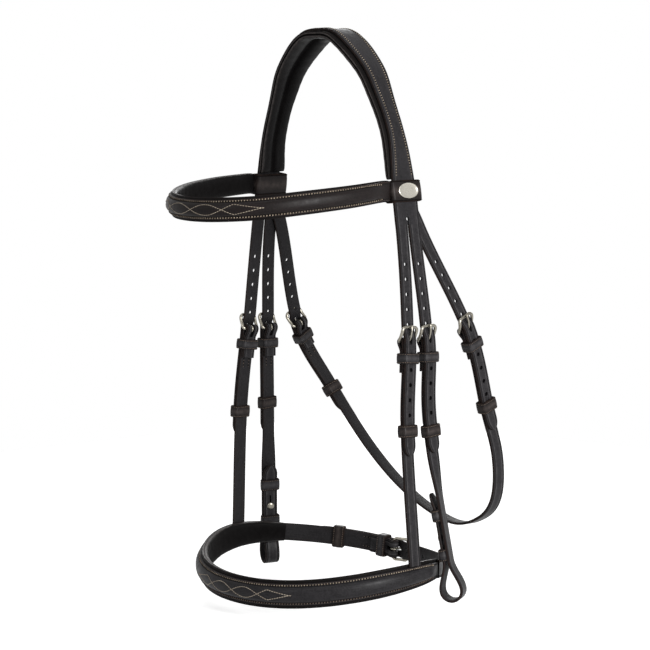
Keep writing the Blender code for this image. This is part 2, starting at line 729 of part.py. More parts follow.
def ring_points(start, stop, count, outward=0.0):
    """Points of the noseband's ring between two angles, from the front round by the near side."""
    points = []
    for angle in np.linspace(start, stop, count):
        turn = math.radians(angle)
        points.append((
            (NOSE_SPREAD - LEATHER / 2 - PLY_GAP + outward) * math.sin(turn),
            -NOSE_RING_FORWARD - (NOSE_RING_DEPTH + outward) * math.cos(turn),
            -ring_level(turn),
        ))
    return points


def nose_height(lengths, full):
    """The height of the padding or the front along the ring, less towards its ends."""
    reach = (np.abs(lengths) - NOSE_TAPER_START) / (NOSE_PADDING_HALF_LENGTH - NOSE_TAPER_START)
    return full - (NOSE_PADDING_HEIGHT - NOSE_END_HEIGHT) * np.clip(reach, 0, 1) ** 2


def make_noseband():
    ring = Route(ring_points(-150, 150, 21), 10, (0, 0, 1))
    reach = NOSE_PADDING_HALF_LENGTH
    lengths = row_of(-reach, reach, PAD_STEP)
    half = nose_height(lengths, NOSE_PADDING_HEIGHT) / 2
    sweep("noseband_padding", ring, lengths, half, -NOSE_PADDING, CUSHION_SHARES, 0.0, LINING)
    reach = NOSE_FRONT_HALF_LENGTH
    lengths = row_of(-reach, reach, PAD_STEP)
    half = nose_height(lengths, NOSE_FRONT_HEIGHT) / 2
    sweep("noseband_front", ring, lengths, half, NOSE_FRONT, RAISED_SHARES, PLY_GAP, DARK)

    strap_out = PLY_GAP + LEATHER / 2
    first, last = REAR_BUCKLE_ANGLE - REAR_ARC, REAR_BUCKLE_ANGLE + REAR_ARC
    rear = Route(ring_points(first, last, 17, strap_out), 8, (0, 0, 1))
    start_near = rear_length(ring, rear, NOSE_FRONT_HALF_LENGTH + REAR_JOINT_GAP)
    start_far = rear_length(ring, rear, -NOSE_FRONT_HALF_LENGTH - REAR_JOINT_GAP)
    make_billet(
        "noseband_rear_billet", rear, start_near, REAR_BILLET_LENGTH, REAR_STRAP_WIDTH,
        REAR_HOLES_EACH_WAY, CURVE_STEP, DARK,
    )
    path = fold_path() + [(s, 0.0) for s in row_of(0, start_far, CURVE_STEP)[1:]]
    piece = strap("noseband_rear_strap", rear, path, REAR_STRAP_WIDTH, DARK)
    cut(piece, mesh_from("rear_slot", crew_slot(rear)))
    make_buckle("noseband_rear_buckle", rear, REAR_STRAP_WIDTH)
    make_keepers("noseband_rear", rear, REAR_STRAP_WIDTH, REAR_KEEPER_DOWN, DARK)
    return ring, rear


def rear_length(ring, rear, length):
    """The rear route's length beside a length on the padded ring."""
    point = ring.place(length, 0.0, PLY_GAP + LEATHER / 2)
    nearest = np.argmin(np.linalg.norm(rear.line - point, axis=1))
    return rear.lengths[nearest]


def split_entry(crown):
    """The direction in which the headpiece's near end points, which its billets take up."""
    return crown.down[-1]


def make_nose_strap(crown, side, name):
    """A nose billet and the hanger that it buckles to."""
    reach = math.pi / 2 * NOSE_SPREAD
    foot = nose_height(reach, NOSE_PADDING_HEIGHT) / 2 - ring_level(side * math.pi / 2) - HANGER_LAP
    points = [
        (SPLIT_SPREAD, -PAIR_OFFSET, -SPLIT_LEVEL),
        (BUCKLE_SPREAD, -NOSE_BUCKLE_FORWARD, -BUCKLE_LEVEL),
        (NOSE_KEEPER_SPREAD, -NOSE_KEEPER_FORWARD, -KEEPER_LEVEL),
        (NOSE_SPREAD, -HANGER_FORWARD, foot),
    ]
    route = Route(points, 1, (0, 1, 0), side, split_entry(crown))
    top = route.lengths[0] + JOINT_GAP
    make_billet(
        f"nose_billet_{name}", route, top, BILLET_LENGTH, STRAP_WIDTH, HOLES_EACH_WAY, STRAIGHT_STEP, DARK
    )
    path = fold_path() + [(s, 0.0) for s in row_of(0, route.lengths[-1], STRAIGHT_STEP)[1:]]
    piece = strap(f"nose_hanger_{name}", route, path, STRAP_WIDTH, DARK)
    cut(piece, mesh_from(f"nose_slot_{name}", crew_slot(route)))
    make_buckle(f"nose_buckle_{name}", route, STRAP_WIDTH)
    make_keepers(f"nose_{name}", route, STRAP_WIDTH, NOSE_KEEPER_DOWN, DARK)
    return route


def bit_loop_path(top, bottom):
    """The cheekpiece below its buckle: down, round the bit loop and back up inside to its point."""
    middle = -HOOK_STEP / 2
    path = [(s, 0.0) for s in row_of(top, bottom - BIT_LOOP_NECK, STRAIGHT_STEP)]
    neck = []
    for share in np.linspace(0, 1, 8)[1:-1]:
        ease = share**2 * (3 - 2 * share)
        neck.append((bottom - BIT_LOOP_NECK * (1 - share), ease))
    path += [(s, ease * (middle + BIT_LOOP_RADIUS)) for s, ease in neck]
    for angle in np.linspace(90, -90, 12):
        turn = math.radians(angle)
        path.append((
            bottom + BIT_LOOP_RADIUS * math.cos(turn), middle + BIT_LOOP_RADIUS * math.sin(turn)
        ))
    inner = middle - BIT_LOOP_RADIUS
    path += [(s, -HOOK_STEP + ease * (inner + HOOK_STEP)) for s, ease in reversed(neck)]
    keeper_top = bottom - UPPER_HOOK_KEEPER_UP - LOOP_KEEPER_HEIGHT / 2
    path += [(s, -HOOK_STEP) for s in row_of(bottom - BIT_LOOP_NECK, keeper_top, STRAIGHT_STEP)]
    return path


def make_cheek(crown, side, name, keeper_down):
    """A cheek billet and the cheekpiece with its buckle, bit loop and hook stud."""
    points = [
        (SPLIT_SPREAD, PAIR_OFFSET, -SPLIT_LEVEL),
        (BUCKLE_SPREAD, CHEEK_BUCKLE_BACK, -BUCKLE_LEVEL),
        (CHEEK_KEEPER_SPREAD, CHEEK_KEEPER_BACK, -KEEPER_LEVEL),
        (BIT_SPREAD, BIT_BACK, -BIT_LEVEL + (1 - side) / 2 * FAR_RISE),
    ]
    twist = (BIT_TWIST_DOWN, UPPER_HOOK_KEEPER_UP + LOOP_KEEPER_HEIGHT, BIT_TWIST)
    route = Route(points, 1, (0, 1, 0), side, split_entry(crown), twist)
    top = route.lengths[0] + JOINT_GAP
    bottom = route.lengths[-1]
    make_billet(
        f"cheek_billet_{name}", route, top, BILLET_LENGTH, STRAP_WIDTH, HOLES_EACH_WAY, STRAIGHT_STEP, DARK
    )
    path = fold_path() + bit_loop_path(0, bottom)[1:]
    tip_lengths, tip_widths = tip(bottom - BIT_RETURN, 1, STRAP_WIDTH)
    flare = (path[-1][0] - tip_lengths[::-1]) / (path[-1][0] - tip_lengths[0])
    path += [(s, -HOOK_STEP - RETURN_FLARE * share) for s, share in zip(tip_lengths[::-1], flare)]
    widths = np.full(len(path), STRAP_WIDTH)
    widths[-len(tip_widths):] = tip_widths[::-1]
    piece = strap(f"cheekpiece_{name}", route, path, widths, DARK)
    bm = crew_slot(route)
    stud = route.matrix(bottom - STUD_UP, 0.0, -HOOK_STEP)
    add_box(
        bm, stud, (-KEYHOLE_LENGTH + STUD_STEM_RADIUS, KEYHOLE_HALF_WIDTH),
        (-KEYHOLE_HALF_WIDTH, KEYHOLE_HALF_WIDTH), (-LEATHER, LEATHER),
    )
    cut(piece, mesh_from(f"cheek_slots_{name}", bm))
    make_stud(f"hook_stud_{name}", stud)
    make_buckle(f"cheek_buckle_{name}", route, STRAP_WIDTH)
    make_keepers(f"cheek_{name}", route, STRAP_WIDTH, keeper_down, DARK)
    half = STRAP_WIDTH / 2 + SIDE_GAP
    high = LEATHER / 2 + PLY_GAP
    for level, up in (("upper", UPPER_HOOK_KEEPER_UP), ("lower", LOWER_HOOK_KEEPER_UP)):
        band(
            f"hook_keeper_{level}_{name}", route.matrix(bottom - up, 0.0, -HOOK_STEP), half,
            -LEATHER / 2 - KEEPER_GAP, high, LOOP_KEEPER_HEIGHT, KEEPER_LEATHER, DARK,
        )
    return route


def make_stud(name, matrix):
    """A hook stud turned on its axis: a stem through the keyhole, and a domed head inside it."""
    base = HOOK_STEP - LEATHER / 2 - PLY_GAP
    under = -LEATHER / 2 - PLY_GAP
    profile = (
        (0.0, base), (STUD_STEM_RADIUS, base), (STUD_STEM_RADIUS, under), (STUD_HEAD_RADIUS, under),
        (STUD_HEAD_RADIUS, under - STUD_HEAD / 2), (STUD_HEAD_RADIUS / 2, under - STUD_HEAD),
        (0.0, under - STUD_HEAD),
    )
    mesh = bpy.data.meshes.new(name)
    mesh.from_pydata([(x, 0, z) for x, z in profile], [(i, i + 1) for i in range(len(profile) - 1)], [])
    obj = add_object(name, mesh, STEEL_MATERIAL, matrix)
    turned = obj.modifiers.new("Turned", "SCREW")
    turned.steps = turned.render_steps = 12
    turned.use_merge_vertices = True
    turned.merge_threshold = WELD
    return obj


def throat_points(inner):
    """The throatlatch's line: down the near side, round under the jowl and up the far side."""
    split_x, split_y, split_z = inner.place(inner.lengths[-1], 0.0, -LEATHER - TAB_GAP)
    split = (split_x, split_y - POLL_FORWARD, split_z)
    near = [split, (THROAT_BUCKLE_SPREAD, THROAT_BUCKLE_BACK, -THROAT_BUCKLE_LEVEL)]
    far = [
        (-THROAT_BUCKLE_SPREAD, THROAT_BUCKLE_BACK, -THROAT_FAR_BUCKLE_LEVEL),
        (-split[0], split[1], split[2]),
    ]
    low = [
        (spread * out, THROAT_BACK * back, -level - (THROAT_DEPTH - level) * down)
        for spread, level, shares in (
            (THROAT_NEAR_SPREAD, THROAT_BUCKLE_LEVEL, THROAT_NEAR_SHARES),
            (THROAT_FAR_SPREAD, THROAT_FAR_BUCKLE_LEVEL, THROAT_FAR_SHARES),
        )
        for out, back, down in shares
    ]
    return near + low + far


def make_throatlatch(inner):
    points = throat_points(inner)
    far_points = [(-x, y, z) for x, y, z in reversed(points)]
    near = Route(points, 1, (0, 1, 0), 1, split_entry(inner))
    far = Route(far_points, 1, (0, 1, 0), -1, split_entry(inner))
    between = near.lengths[(len(points) - 2) * Route.STEPS]
    for name, route in (("left", near), ("right", far)):
        top = route.lengths[0] + JOINT_GAP
        make_billet(
            f"throat_billet_{name}", route, top, BILLET_LENGTH, STRAP_WIDTH, HOLES_EACH_WAY,
            CURVE_STEP, DARK,
        )
        make_buckle(f"throat_buckle_{name}", route, STRAP_WIDTH)
        make_keepers(f"throat_{name}", route, STRAP_WIDTH, THROAT_KEEPER_DOWN, DARK, THROAT_KEEPER_GAP)
    start = fold_path()
    end = [(between - s, n) for s, n in reversed(start)]
    path = start + [(s, 0.0) for s in row_of(0, between, CURVE_STEP)[1:-1]] + end
    piece = strap("throatlatch_strap", near, path, STRAP_WIDTH, DARK)
    cut(piece, mesh_from("throat_slot_left", crew_slot(near)), "Near slot")
    cut(piece, mesh_from("throat_slot_right", crew_slot(far)), "Far slot")
    return near, far


clear_scene()
PARTS = new_collection("cavesson_bridle")
CUTTERS = new_collection("cutters")
DARK = leather("dark_leather", DARK_LEATHER)
BROWN = leather("brown_leather", BROWN_LEATHER)
LINING = leather("soft_lining", LINING_LEATHER, 0.7)
STEEL_MATERIAL = steel("brushed_steel")

crown, loop_place, inner = make_headpiece()

earlier = set(PARTS.objects)
make_browband(crown, loop_place)
hang("browband_pivot", Vector((0, POLL_FORWARD, -LOOP_LEVEL)), earlier)

earlier = set(PARTS.objects)
make_noseband()
for side, name in ((1, "left"), (-1, "right")):
    route = make_nose_strap(crown, side, name)
hang("noseband_pivot", Vector((0, *route.place(route.lengths[0], -side * STRAP_WIDTH / 2, 0)[1:])), earlier)

for side, name, keeper in ((1, "left", NEAR_CHEEK_KEEPER_DOWN), (-1, "right", FAR_CHEEK_KEEPER_DOWN)):
    earlier = set(PARTS.objects)
    route = make_cheek(crown, side, name, keeper)
    hang(f"cheek_{name}_pivot", Vector(route.place(route.lengths[0], 0, LEATHER / 2)), earlier)

earlier = set(PARTS.objects)
make_throatlatch(inner)
edge = inner.place(inner.lengths[-1], STRAP_WIDTH / 2, 0)
hang("throatlatch_pivot", Vector((0, edge[1], edge[2])), earlier)
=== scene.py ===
"""The looks of a cavesson bridle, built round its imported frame.

Metres, +Z up; the horse faces -Y and its left side, the near side, is +X. Each piece of leather is a
profile carried along a Route, as the solids are, with its edges, stitches and holes. A number in a
profile is a share of the piece's own size, and each length has a name.
"""

import json
import math
import bmesh
import bpy
import numpy as np
from mathutils import Matrix, Vector

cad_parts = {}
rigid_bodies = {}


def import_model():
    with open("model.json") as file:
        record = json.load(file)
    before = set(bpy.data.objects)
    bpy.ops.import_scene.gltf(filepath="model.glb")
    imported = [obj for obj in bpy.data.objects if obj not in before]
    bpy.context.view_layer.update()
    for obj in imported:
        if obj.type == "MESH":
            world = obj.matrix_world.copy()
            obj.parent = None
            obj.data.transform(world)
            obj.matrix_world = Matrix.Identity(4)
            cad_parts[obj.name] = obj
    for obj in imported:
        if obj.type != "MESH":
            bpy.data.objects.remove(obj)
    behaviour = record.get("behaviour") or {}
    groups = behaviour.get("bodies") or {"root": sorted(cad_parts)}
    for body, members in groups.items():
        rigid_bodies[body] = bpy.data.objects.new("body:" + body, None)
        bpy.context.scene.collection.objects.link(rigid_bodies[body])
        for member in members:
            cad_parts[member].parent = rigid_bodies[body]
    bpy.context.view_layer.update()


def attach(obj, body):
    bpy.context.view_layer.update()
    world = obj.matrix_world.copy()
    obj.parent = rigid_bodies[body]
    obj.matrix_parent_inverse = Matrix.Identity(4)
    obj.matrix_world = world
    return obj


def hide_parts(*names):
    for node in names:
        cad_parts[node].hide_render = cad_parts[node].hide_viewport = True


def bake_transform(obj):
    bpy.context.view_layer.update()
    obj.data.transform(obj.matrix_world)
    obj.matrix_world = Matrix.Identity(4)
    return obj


for thing in list(bpy.data.objects):
    bpy.data.objects.remove(thing, do_unlink=True)
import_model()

MM = 0.001

# Leather, and the gaps between plies and round them
STRAP_WIDTH = 12.7 * MM
REAR_STRAP_WIDTH = 15 * MM
LEATHER = 2.2 * MM
KEEPER_LEATHER = 1.2 * MM
PLY_GAP = 0.3 * MM
SIDE_GAP = 0.4 * MM
KEEPER_GAP = 0.6 * MM
THROAT_KEEPER_GAP = 1.1 * MM
JOINT_GAP = 0.3 * MM
REAR_JOINT_GAP = 0.9 * MM
SLIT = 1.4 * MM
SLIT_EYE_RADIUS = 1.7 * MM
SLIT_LENGTH = 4.5 * MM
TIP_LENGTH = 9 * MM

# Levels below the poll, at the middle of each piece
LOOP_LEVEL = 120.6 * MM
SPLIT_LEVEL = 149 * MM
BUCKLE_LEVEL = 241.5 * MM
THROAT_BUCKLE_LEVEL = 234.6 * MM
THROAT_FAR_BUCKLE_LEVEL = 240 * MM
KEEPER_LEVEL = 312 * MM
NOSE_LEVEL = 423 * MM
BIT_LEVEL = 443 * MM
FAR_RISE = 4 * MM

# Half widths of the bridle at those levels
LOOP_SPREAD = 80 * MM
SPLIT_SPREAD = 84.3 * MM
BUCKLE_SPREAD = 94.2 * MM
NOSE_KEEPER_SPREAD = 98.2 * MM
CHEEK_KEEPER_SPREAD = 95.5 * MM
NOSE_SPREAD = 105 * MM
BIT_SPREAD = 111 * MM

# Crown: it leans forward over the poll
POLL_FORWARD = 5.5 * MM
CROWN_HALF_WIDTH = 47.5 * MM
CROWN_LOOP_WIDTH = 27 * MM
CROWN_EAR_WIDTH = 18 * MM
CROWN_POLL_WIDTH = 27 * MM
PADDING_BORDER = 2.5 * MM
PADDING_POLL_BORDER = 4.5 * MM
CROWN_PADDING = 6 * MM
THROAT_LAYER_SET_BACK = 2.6 * MM
THROAT_SPLIT_BACK = 15 * MM
TAB_GAP = 0.6 * MM

# Browband
BROW_DEPTH = 151 * MM
BROW_HALF_WIDTH = 82 * MM
BROW_DROP = 15 * MM
BROW_TILT = 2 * MM
BROW_PADDING_HEIGHT = 18.5 * MM
BROW_END_HEIGHT = 16.5 * MM
BROW_FRONT_HEIGHT = 15 * MM
BROW_PADDING = 5 * MM
BROW_FRONT = 4.2 * MM
LOOP_HEIGHT = 17.5 * MM
LOOP_LEATHER = 1.8 * MM
LOOP_CLEARANCE = 1.1 * MM
LOOP_TILT_ROOM = 1.5 * MM
BADGE_LENGTH = 22 * MM
BADGE_HEIGHT = 12.5 * MM
BADGE_THICKNESS = 1.2 * MM

# Noseband
NOSE_RING_DEPTH = 94 * MM
NOSE_RING_FORWARD = 15 * MM
NOSE_DROP = 16.5 * MM
NOSE_REAR_DROP = 3 * MM
NOSE_REAR_LEAN = 9 * MM
NOSE_FAR_LIFT = 5 * MM
NOSE_NEAR_LIFT = 3.5 * MM
NOSE_PADDING_HEIGHT = 22 * MM
NOSE_END_HEIGHT = 15 * MM
NOSE_TAPER_START = 110 * MM
NOSE_FRONT_HEIGHT = 17 * MM
NOSE_PADDING = 6 * MM
NOSE_FRONT = 4.6 * MM
NOSE_PADDING_HALF_LENGTH = 204 * MM
NOSE_FRONT_HALF_LENGTH = 196 * MM
HANGER_LAP = 1.4 * MM

# Places fore and aft
NOSE_BUCKLE_FORWARD = 9.4 * MM
NOSE_KEEPER_FORWARD = 14.6 * MM
HANGER_FORWARD = 12 * MM
CHEEK_BUCKLE_BACK = 12.8 * MM
CHEEK_KEEPER_BACK = 14.2 * MM
BIT_BACK = 29 * MM
THROAT_BUCKLE_BACK = 53.6 * MM
THROAT_BUCKLE_SPREAD = 100 * MM

# Throatlatch, as it hangs: it is lowest towards the near side
THROAT_BACK = 92 * MM
THROAT_NEAR_SPREAD = 100 * MM
THROAT_FAR_SPREAD = 95 * MM
THROAT_DEPTH = 401.5 * MM

# Buckles
WIRE_RADIUS = 1.2 * MM
TONGUE_RADIUS = 0.85 * MM
FRAME_LENGTH = 11.5 * MM
FRAME_CORNER = 3.2 * MM
CREW_SLOT_WIDTH = 3.4 * MM
CREW_SLOT_REACH = 7 * MM
RETURN_PLY = 25 * MM
FOLD_CLOSE = 8 * MM
RISE_START = 12.5 * MM
RISE_END = 1 * MM

# Holes and billets
HOLE_RADIUS = 1.7 * MM
HOLE_SPACING = 12 * MM
TONGUE_HOLE_UP = 1.6 * MM
TONGUE_HOLE_HALF_LENGTH = 4.2 * MM
TONGUE_HOLE_HALF_WIDTH = 1.5 * MM
BILLET_LENGTH = 91 * MM
REAR_BILLET_LENGTH = 78 * MM
HOLES_EACH_WAY = 5
REAR_HOLES_EACH_WAY = 3

# Keepers
FIXED_KEEPER_DOWN = 13.5 * MM
FIXED_KEEPER_HEIGHT = 8.6 * MM
LOOP_KEEPER_HEIGHT = 10 * MM
KEEPER_CORNER = 1.4 * MM
NOSE_KEEPER_DOWN = 71 * MM
NEAR_CHEEK_KEEPER_DOWN = 73 * MM
FAR_CHEEK_KEEPER_DOWN = 65 * MM
THROAT_KEEPER_DOWN = 69 * MM
REAR_KEEPER_DOWN = 56.5 * MM

# Bit loops: the cheekpiece turns inward and back up through two keepers, and hooks on a stud
BIT_TWIST = math.radians(25)
BIT_TWIST_DOWN = 90 * MM
BIT_LOOP_RADIUS = 8.7 * MM
BIT_LOOP_NECK = 24 * MM
BIT_RETURN = 80 * MM
RETURN_FLARE = 3 * MM
STUD_UP = 43 * MM
UPPER_HOOK_KEEPER_UP = 62 * MM
LOWER_HOOK_KEEPER_UP = 29.5 * MM
STUD_STEM_RADIUS = 1.5 * MM
STUD_HEAD_RADIUS = 3.1 * MM
STUD_HEAD = 1.7 * MM
KEYHOLE_HALF_WIDTH = 1.9 * MM
KEYHOLE_LENGTH = 11 * MM

PLY_STEP = LEATHER + PLY_GAP
FOLD_RADIUS = WIRE_RADIUS + PLY_GAP + LEATHER / 2
HOOK_STEP = LEATHER + KEEPER_LEATHER + 2 * PLY_GAP
TOP_BAR_OUT = LEATHER / 2 + PLY_GAP + WIRE_RADIUS
PAIR_OFFSET = (STRAP_WIDTH + SLIT) / 2
CROWN_RISE = CROWN_PADDING + PLY_GAP + LEATHER / 2

# The crown's places down its half length, for its widths from the poll to the loops
CROWN_WIDTH_SHARES = (0.0, 0.16, 0.5, 0.62, 0.86, 1.0)
# The crown's line: shares of its half width, of its flare, of its rise and of the loops' level
CROWN_LINE_SHARES = (
    (0.45, 0.0, 0.45, 0.0), (1.0, 0.0, 0.0, -0.17), (1.0, 0.4, 0.0, -0.365), (1.0, 0.82, 0.0, -0.66),
)
# The browband's line: shares of its half width, depth and drop
BROW_LINE_SHARES = (
    (0.34, 0.968, 0.94), (0.65, 0.85, 0.78), (0.88, 0.65, 0.5), (1.0, 0.4, 0.22), (0.985, 0.17, 0.0),
)
# The throatlatch's line: shares of its spread, of its set-back and of its drop below its buckles
THROAT_NEAR_SHARES = (
    (0.97, 0.87, 0.399), (1.0, 0.985, 0.639), (0.98, 1.0, 0.844), (0.82, 1.0, 0.959), (0.5, 1.0, 1.0),
    (0.0, 1.0, 0.887),
)
THROAT_FAR_SHARES = ((-0.5, 1.0, 0.672), (-0.96, 0.94, 0.354))
# Shares of the frame's length and of the tongue's height over the bar, up the tongue
TONGUE_SHARES = ((-0.07, 0.34), (0.03, 0.52), (0.18, 0.68), (0.4, 0.84), (0.72, 0.97), (1.13, 1.0))

TONGUE_WRAP_START = math.radians(285)
TONGUE_WRAP_END = math.radians(55)
TONGUE_WRAP_STEPS = 7
REAR_BUCKLE_ANGLE = 183.5
REAR_ARC = 80


def unit(vectors):
    """Directions of length one."""
    return vectors / np.linalg.norm(vectors, axis=-1, keepdims=True)


def ease(share):
    """0 to 1 with a level start and end: three shares squared less two cubed."""
    share = np.clip(share, 0, 1)
    return share**2 * (3 - 2 * share)


def quarter(share):
    """0 to 1 as a quarter circle rises: the root of one less the square of one less the share."""
    return np.sqrt(1 - (1 - np.clip(share, 0, 1)) ** 2)


def bell(where, middle, width):
    """1 at a middle, falling off as e to the minus square of the distance over a width."""
    return np.exp(-(((where - middle) / width) ** 2))


def read_at(values, lengths, at):
    """Each column of values, known at lengths, read at other lengths in a straight line between."""
    return np.stack([np.interp(at, lengths, column) for column in values.T], axis=-1)


class Route:
    """A smooth line through points, with lengths measured from one of them.

    At each length it has the direction down the strap, the direction across it, and outward, their
    cross product. A far route's points are given as if on the near side, and mirrored in x. The
    points lie fore and aft of the browband loops, and the line is moved back so that the poll,
    further forward, is at zero. A route may start along a given direction. It may twist about
    itself, from a length down it to a length up from its end, by a full angle that turns its
    outward side back.
    """

    STEPS = 96

    def __init__(self, points, zero, across, side=1, entry=None, twist=None):
        knots = np.array(points, dtype=float) + np.array((0, POLL_FORWARD, 0))
        before = 2 * knots[0] - knots[1]
        if entry is not None:
            before = knots[1] - 2 * np.linalg.norm(knots[1] - knots[0]) * np.array(entry)
        ends = np.vstack([before, knots, 2 * knots[-1] - knots[-2]])
        share = np.linspace(0, 1, self.STEPS, endpoint=False)[:, None]
        pieces = [self.between(ends[i:i + 4], share) for i in range(len(knots) - 1)]
        line = np.vstack(pieces + [knots[-1:]])
        steps = np.linalg.norm(np.diff(line, axis=0), axis=1)
        lengths = np.concatenate([[0], np.cumsum(steps)])
        self.lengths = lengths - lengths[zero * self.STEPS]
        down = unit(np.gradient(line, lengths, axis=0))
        sideways = unit(np.array(across) - (down @ np.array(across))[:, None] * down)
        outward = np.cross(down, sideways)
        if twist is not None:
            start, end_up, full = twist
            turn = full * ease((self.lengths - start) / (self.lengths[-1] - end_up - start))[:, None]
            outward = outward * np.cos(turn) + sideways * np.sin(turn)
        mirror = np.array([side, 1, 1])
        self.line, self.down, self.outward = line * mirror, down * mirror, outward * mirror
        self.across = np.cross(self.outward, self.down)

    @staticmethod
    def between(four, share):
        """The Catmull-Rom cubic from the second of four points to the third."""
        before, start, end, after = four
        return 0.5 * (
            2 * start
            + (end - before) * share
            + (2 * before - 5 * start + 4 * end - after) * share**2
            + (3 * start - before - 3 * end + after) * share**3
        )

    def read(self, values, length):
        return read_at(values, self.lengths, length)

    def place(self, length, across, outward):
        """World points at a length down the line, a distance across it and one outward."""
        length = np.asarray(length, dtype=float)
        beyond = length - np.clip(length, self.lengths[0], self.lengths[-1])
        return (
            self.read(self.line, length)
            + beyond[..., None] * self.read(self.down, length)
            + np.asarray(across)[..., None] * self.read(self.across, length)
            + np.asarray(outward)[..., None] * self.read(self.outward, length)
        )

    def matrix(self, length, across=0.0, outward=0.0):
        """Axes down, across and outward, at a place on the line."""
        down = Vector(self.read(self.down, length)).normalized()
        out = Vector(self.read(self.outward, length)).normalized()
        sideways = out.cross(down).normalized()
        out = down.cross(sideways)
        turn = Matrix((down, sideways, out)).transposed().to_4x4()
        return Matrix.Translation(Vector(self.place(length, across, outward))) @ turn


def billet_rise(length):
    """How far outward a billet lies: behind the buckle's top bar, then over the strap below it."""
    return PLY_STEP * ease((np.asarray(length) + RISE_START) / (RISE_START - RISE_END))


def crown_points(set_back=0.0, split_back=0.0):
    """The crown's line, from the far split over the poll down to the near split."""
    flare = LOOP_SPREAD - CROWN_HALF_WIDTH
    near = [
        (CROWN_HALF_WIDTH * half + flare * out, 0.0, CROWN_RISE * rise + LOOP_LEVEL * level)
        for half, out, rise, level in CROWN_LINE_SHARES
    ]
    near.append((LOOP_SPREAD, set_back, -LOOP_LEVEL))
    near.append((SPLIT_SPREAD, set_back + split_back, -SPLIT_LEVEL))
    near = [(x, y - POLL_FORWARD * (1 - min(1, -z / LOOP_LEVEL)), z) for x, y, z in near]
    far = [(-x, y, z) for x, y, z in reversed(near)]
    return far + [(0.0, -POLL_FORWARD, CROWN_RISE)] + near


def crown_width(lengths, end, loop, ear, poll):
    """The headpiece's width: wide at the poll and the loops, narrow behind the ears."""
    at = np.array(CROWN_WIDTH_SHARES) * end
    widths = (poll, poll, ear, ear, loop, loop)
    return np.interp(np.abs(lengths), at, widths)


def brow_points():
    """The browband's line from the far loop round the front to the near loop."""
    near = [
        (BROW_HALF_WIDTH * half, -BROW_DEPTH * depth, -LOOP_LEVEL - BROW_DROP * drop)
        for half, depth, drop in BROW_LINE_SHARES
    ]
    near.append((LOOP_SPREAD, -loop_reach(), -LOOP_LEVEL))
    far = [(-x, y, z) for x, y, z in reversed(near)]
    points = far + [(0.0, -BROW_DEPTH, -LOOP_LEVEL - BROW_DROP)] + near
    return [(x, y, z - BROW_TILT * x / LOOP_SPREAD) for x, y, z in points]


def loop_reach():
    """Half the outside length of a browband loop, fore and aft."""
    return CROWN_LOOP_WIDTH / 2 + LOOP_CLEARANCE + LOOP_LEATHER + JOINT_GAP


def ring_level(turn):
    """How far the noseband's middle lies below the poll, at an angle from the front."""
    front_share = ((1 + math.cos(turn)) / 2) ** 2
    rear_share = ((1 - math.cos(turn)) / 2) ** 2
    near_share = (1 + math.sin(turn)) / 2
    drop = NOSE_DROP * front_share + NOSE_REAR_DROP * rear_share
    lean = NOSE_REAR_LEAN * rear_share**3 * near_share + FAR_RISE * math.sin(turn)
    lift = NOSE_FAR_LIFT * max(0, -math.sin(turn)) ** 6 + NOSE_NEAR_LIFT * max(0, math.sin(turn)) ** 3
    return NOSE_LEVEL + drop + lean - lift


def ring_points(start, stop, count, outward=0.0):
    """Points of the noseband's ring between two angles, from the front round by the near side."""
    points = []
    for angle in np.linspace(start, stop, count):
        turn = math.radians(angle)
        points.append((
            (NOSE_SPREAD - LEATHER / 2 - PLY_GAP + outward) * math.sin(turn),
            -NOSE_RING_FORWARD - (NOSE_RING_DEPTH + outward) * math.cos(turn),
            -ring_level(turn),
        ))
    return points


def nose_height(lengths, full):
    """The height of the padding or the front along the ring, less towards its ends."""
    reach = (np.abs(lengths) - NOSE_TAPER_START) / (NOSE_PADDING_HALF_LENGTH - NOSE_TAPER_START)
    return full - (NOSE_PADDING_HEIGHT - NOSE_END_HEIGHT) * np.clip(reach, 0, 1) ** 2


def rear_length(ring, rear, length):
    """The rear route's length beside a length on the padded ring."""
    point = ring.place(length, 0.0, PLY_GAP + LEATHER / 2)
    nearest = np.argmin(np.linalg.norm(rear.line - point, axis=1))
    return rear.lengths[nearest]


def throat_points(inner):
    """The throatlatch's line: down the near side, round under the jowl and up the far side."""
    split_x, split_y, split_z = inner.place(inner.lengths[-1], 0.0, -LEATHER - TAB_GAP)
    split = (split_x, split_y - POLL_FORWARD, split_z)
    near = [split, (THROAT_BUCKLE_SPREAD, THROAT_BUCKLE_BACK, -THROAT_BUCKLE_LEVEL)]
    far = [
        (-THROAT_BUCKLE_SPREAD, THROAT_BUCKLE_BACK, -THROAT_FAR_BUCKLE_LEVEL),
        (-split[0], split[1], split[2]),
    ]
    low = [
        (spread * out, THROAT_BACK * back, -level - (THROAT_DEPTH - level) * down)
        for spread, level, shares in (
            (THROAT_NEAR_SPREAD, THROAT_BUCKLE_LEVEL, THROAT_NEAR_SHARES),
            (THROAT_FAR_SPREAD, THROAT_FAR_BUCKLE_LEVEL, THROAT_FAR_SHARES),
        )
        for out, back, down in shares
    ]
    return near + low + far


# How finely pieces are built: rows along a strap, closer ones by a buckle, and columns round a pad
ROW = 2.4 * MM
FINE_ROW = 0.7 * MM
ROUND_COLUMNS = 72
HOLE_SIDES = 20
CORNER_ROWS = 7
GAP_ROWS = 6
FRAME_CORNER_ROWS = 9
FRAME_ROWS = 8
EASE_PLACES = 9
DOME_ROWS = 7
FOLD_ROWS = 19
FOLD_CLOSE_ROWS = 12
NECK_ROWS = 20
BIT_LOOP_ROWS = 31
SEAM_POINTS = 12
FANCY_POINTS = 900
STITCH_COLUMNS = 6
SHARP_ANGLE = math.radians(50)

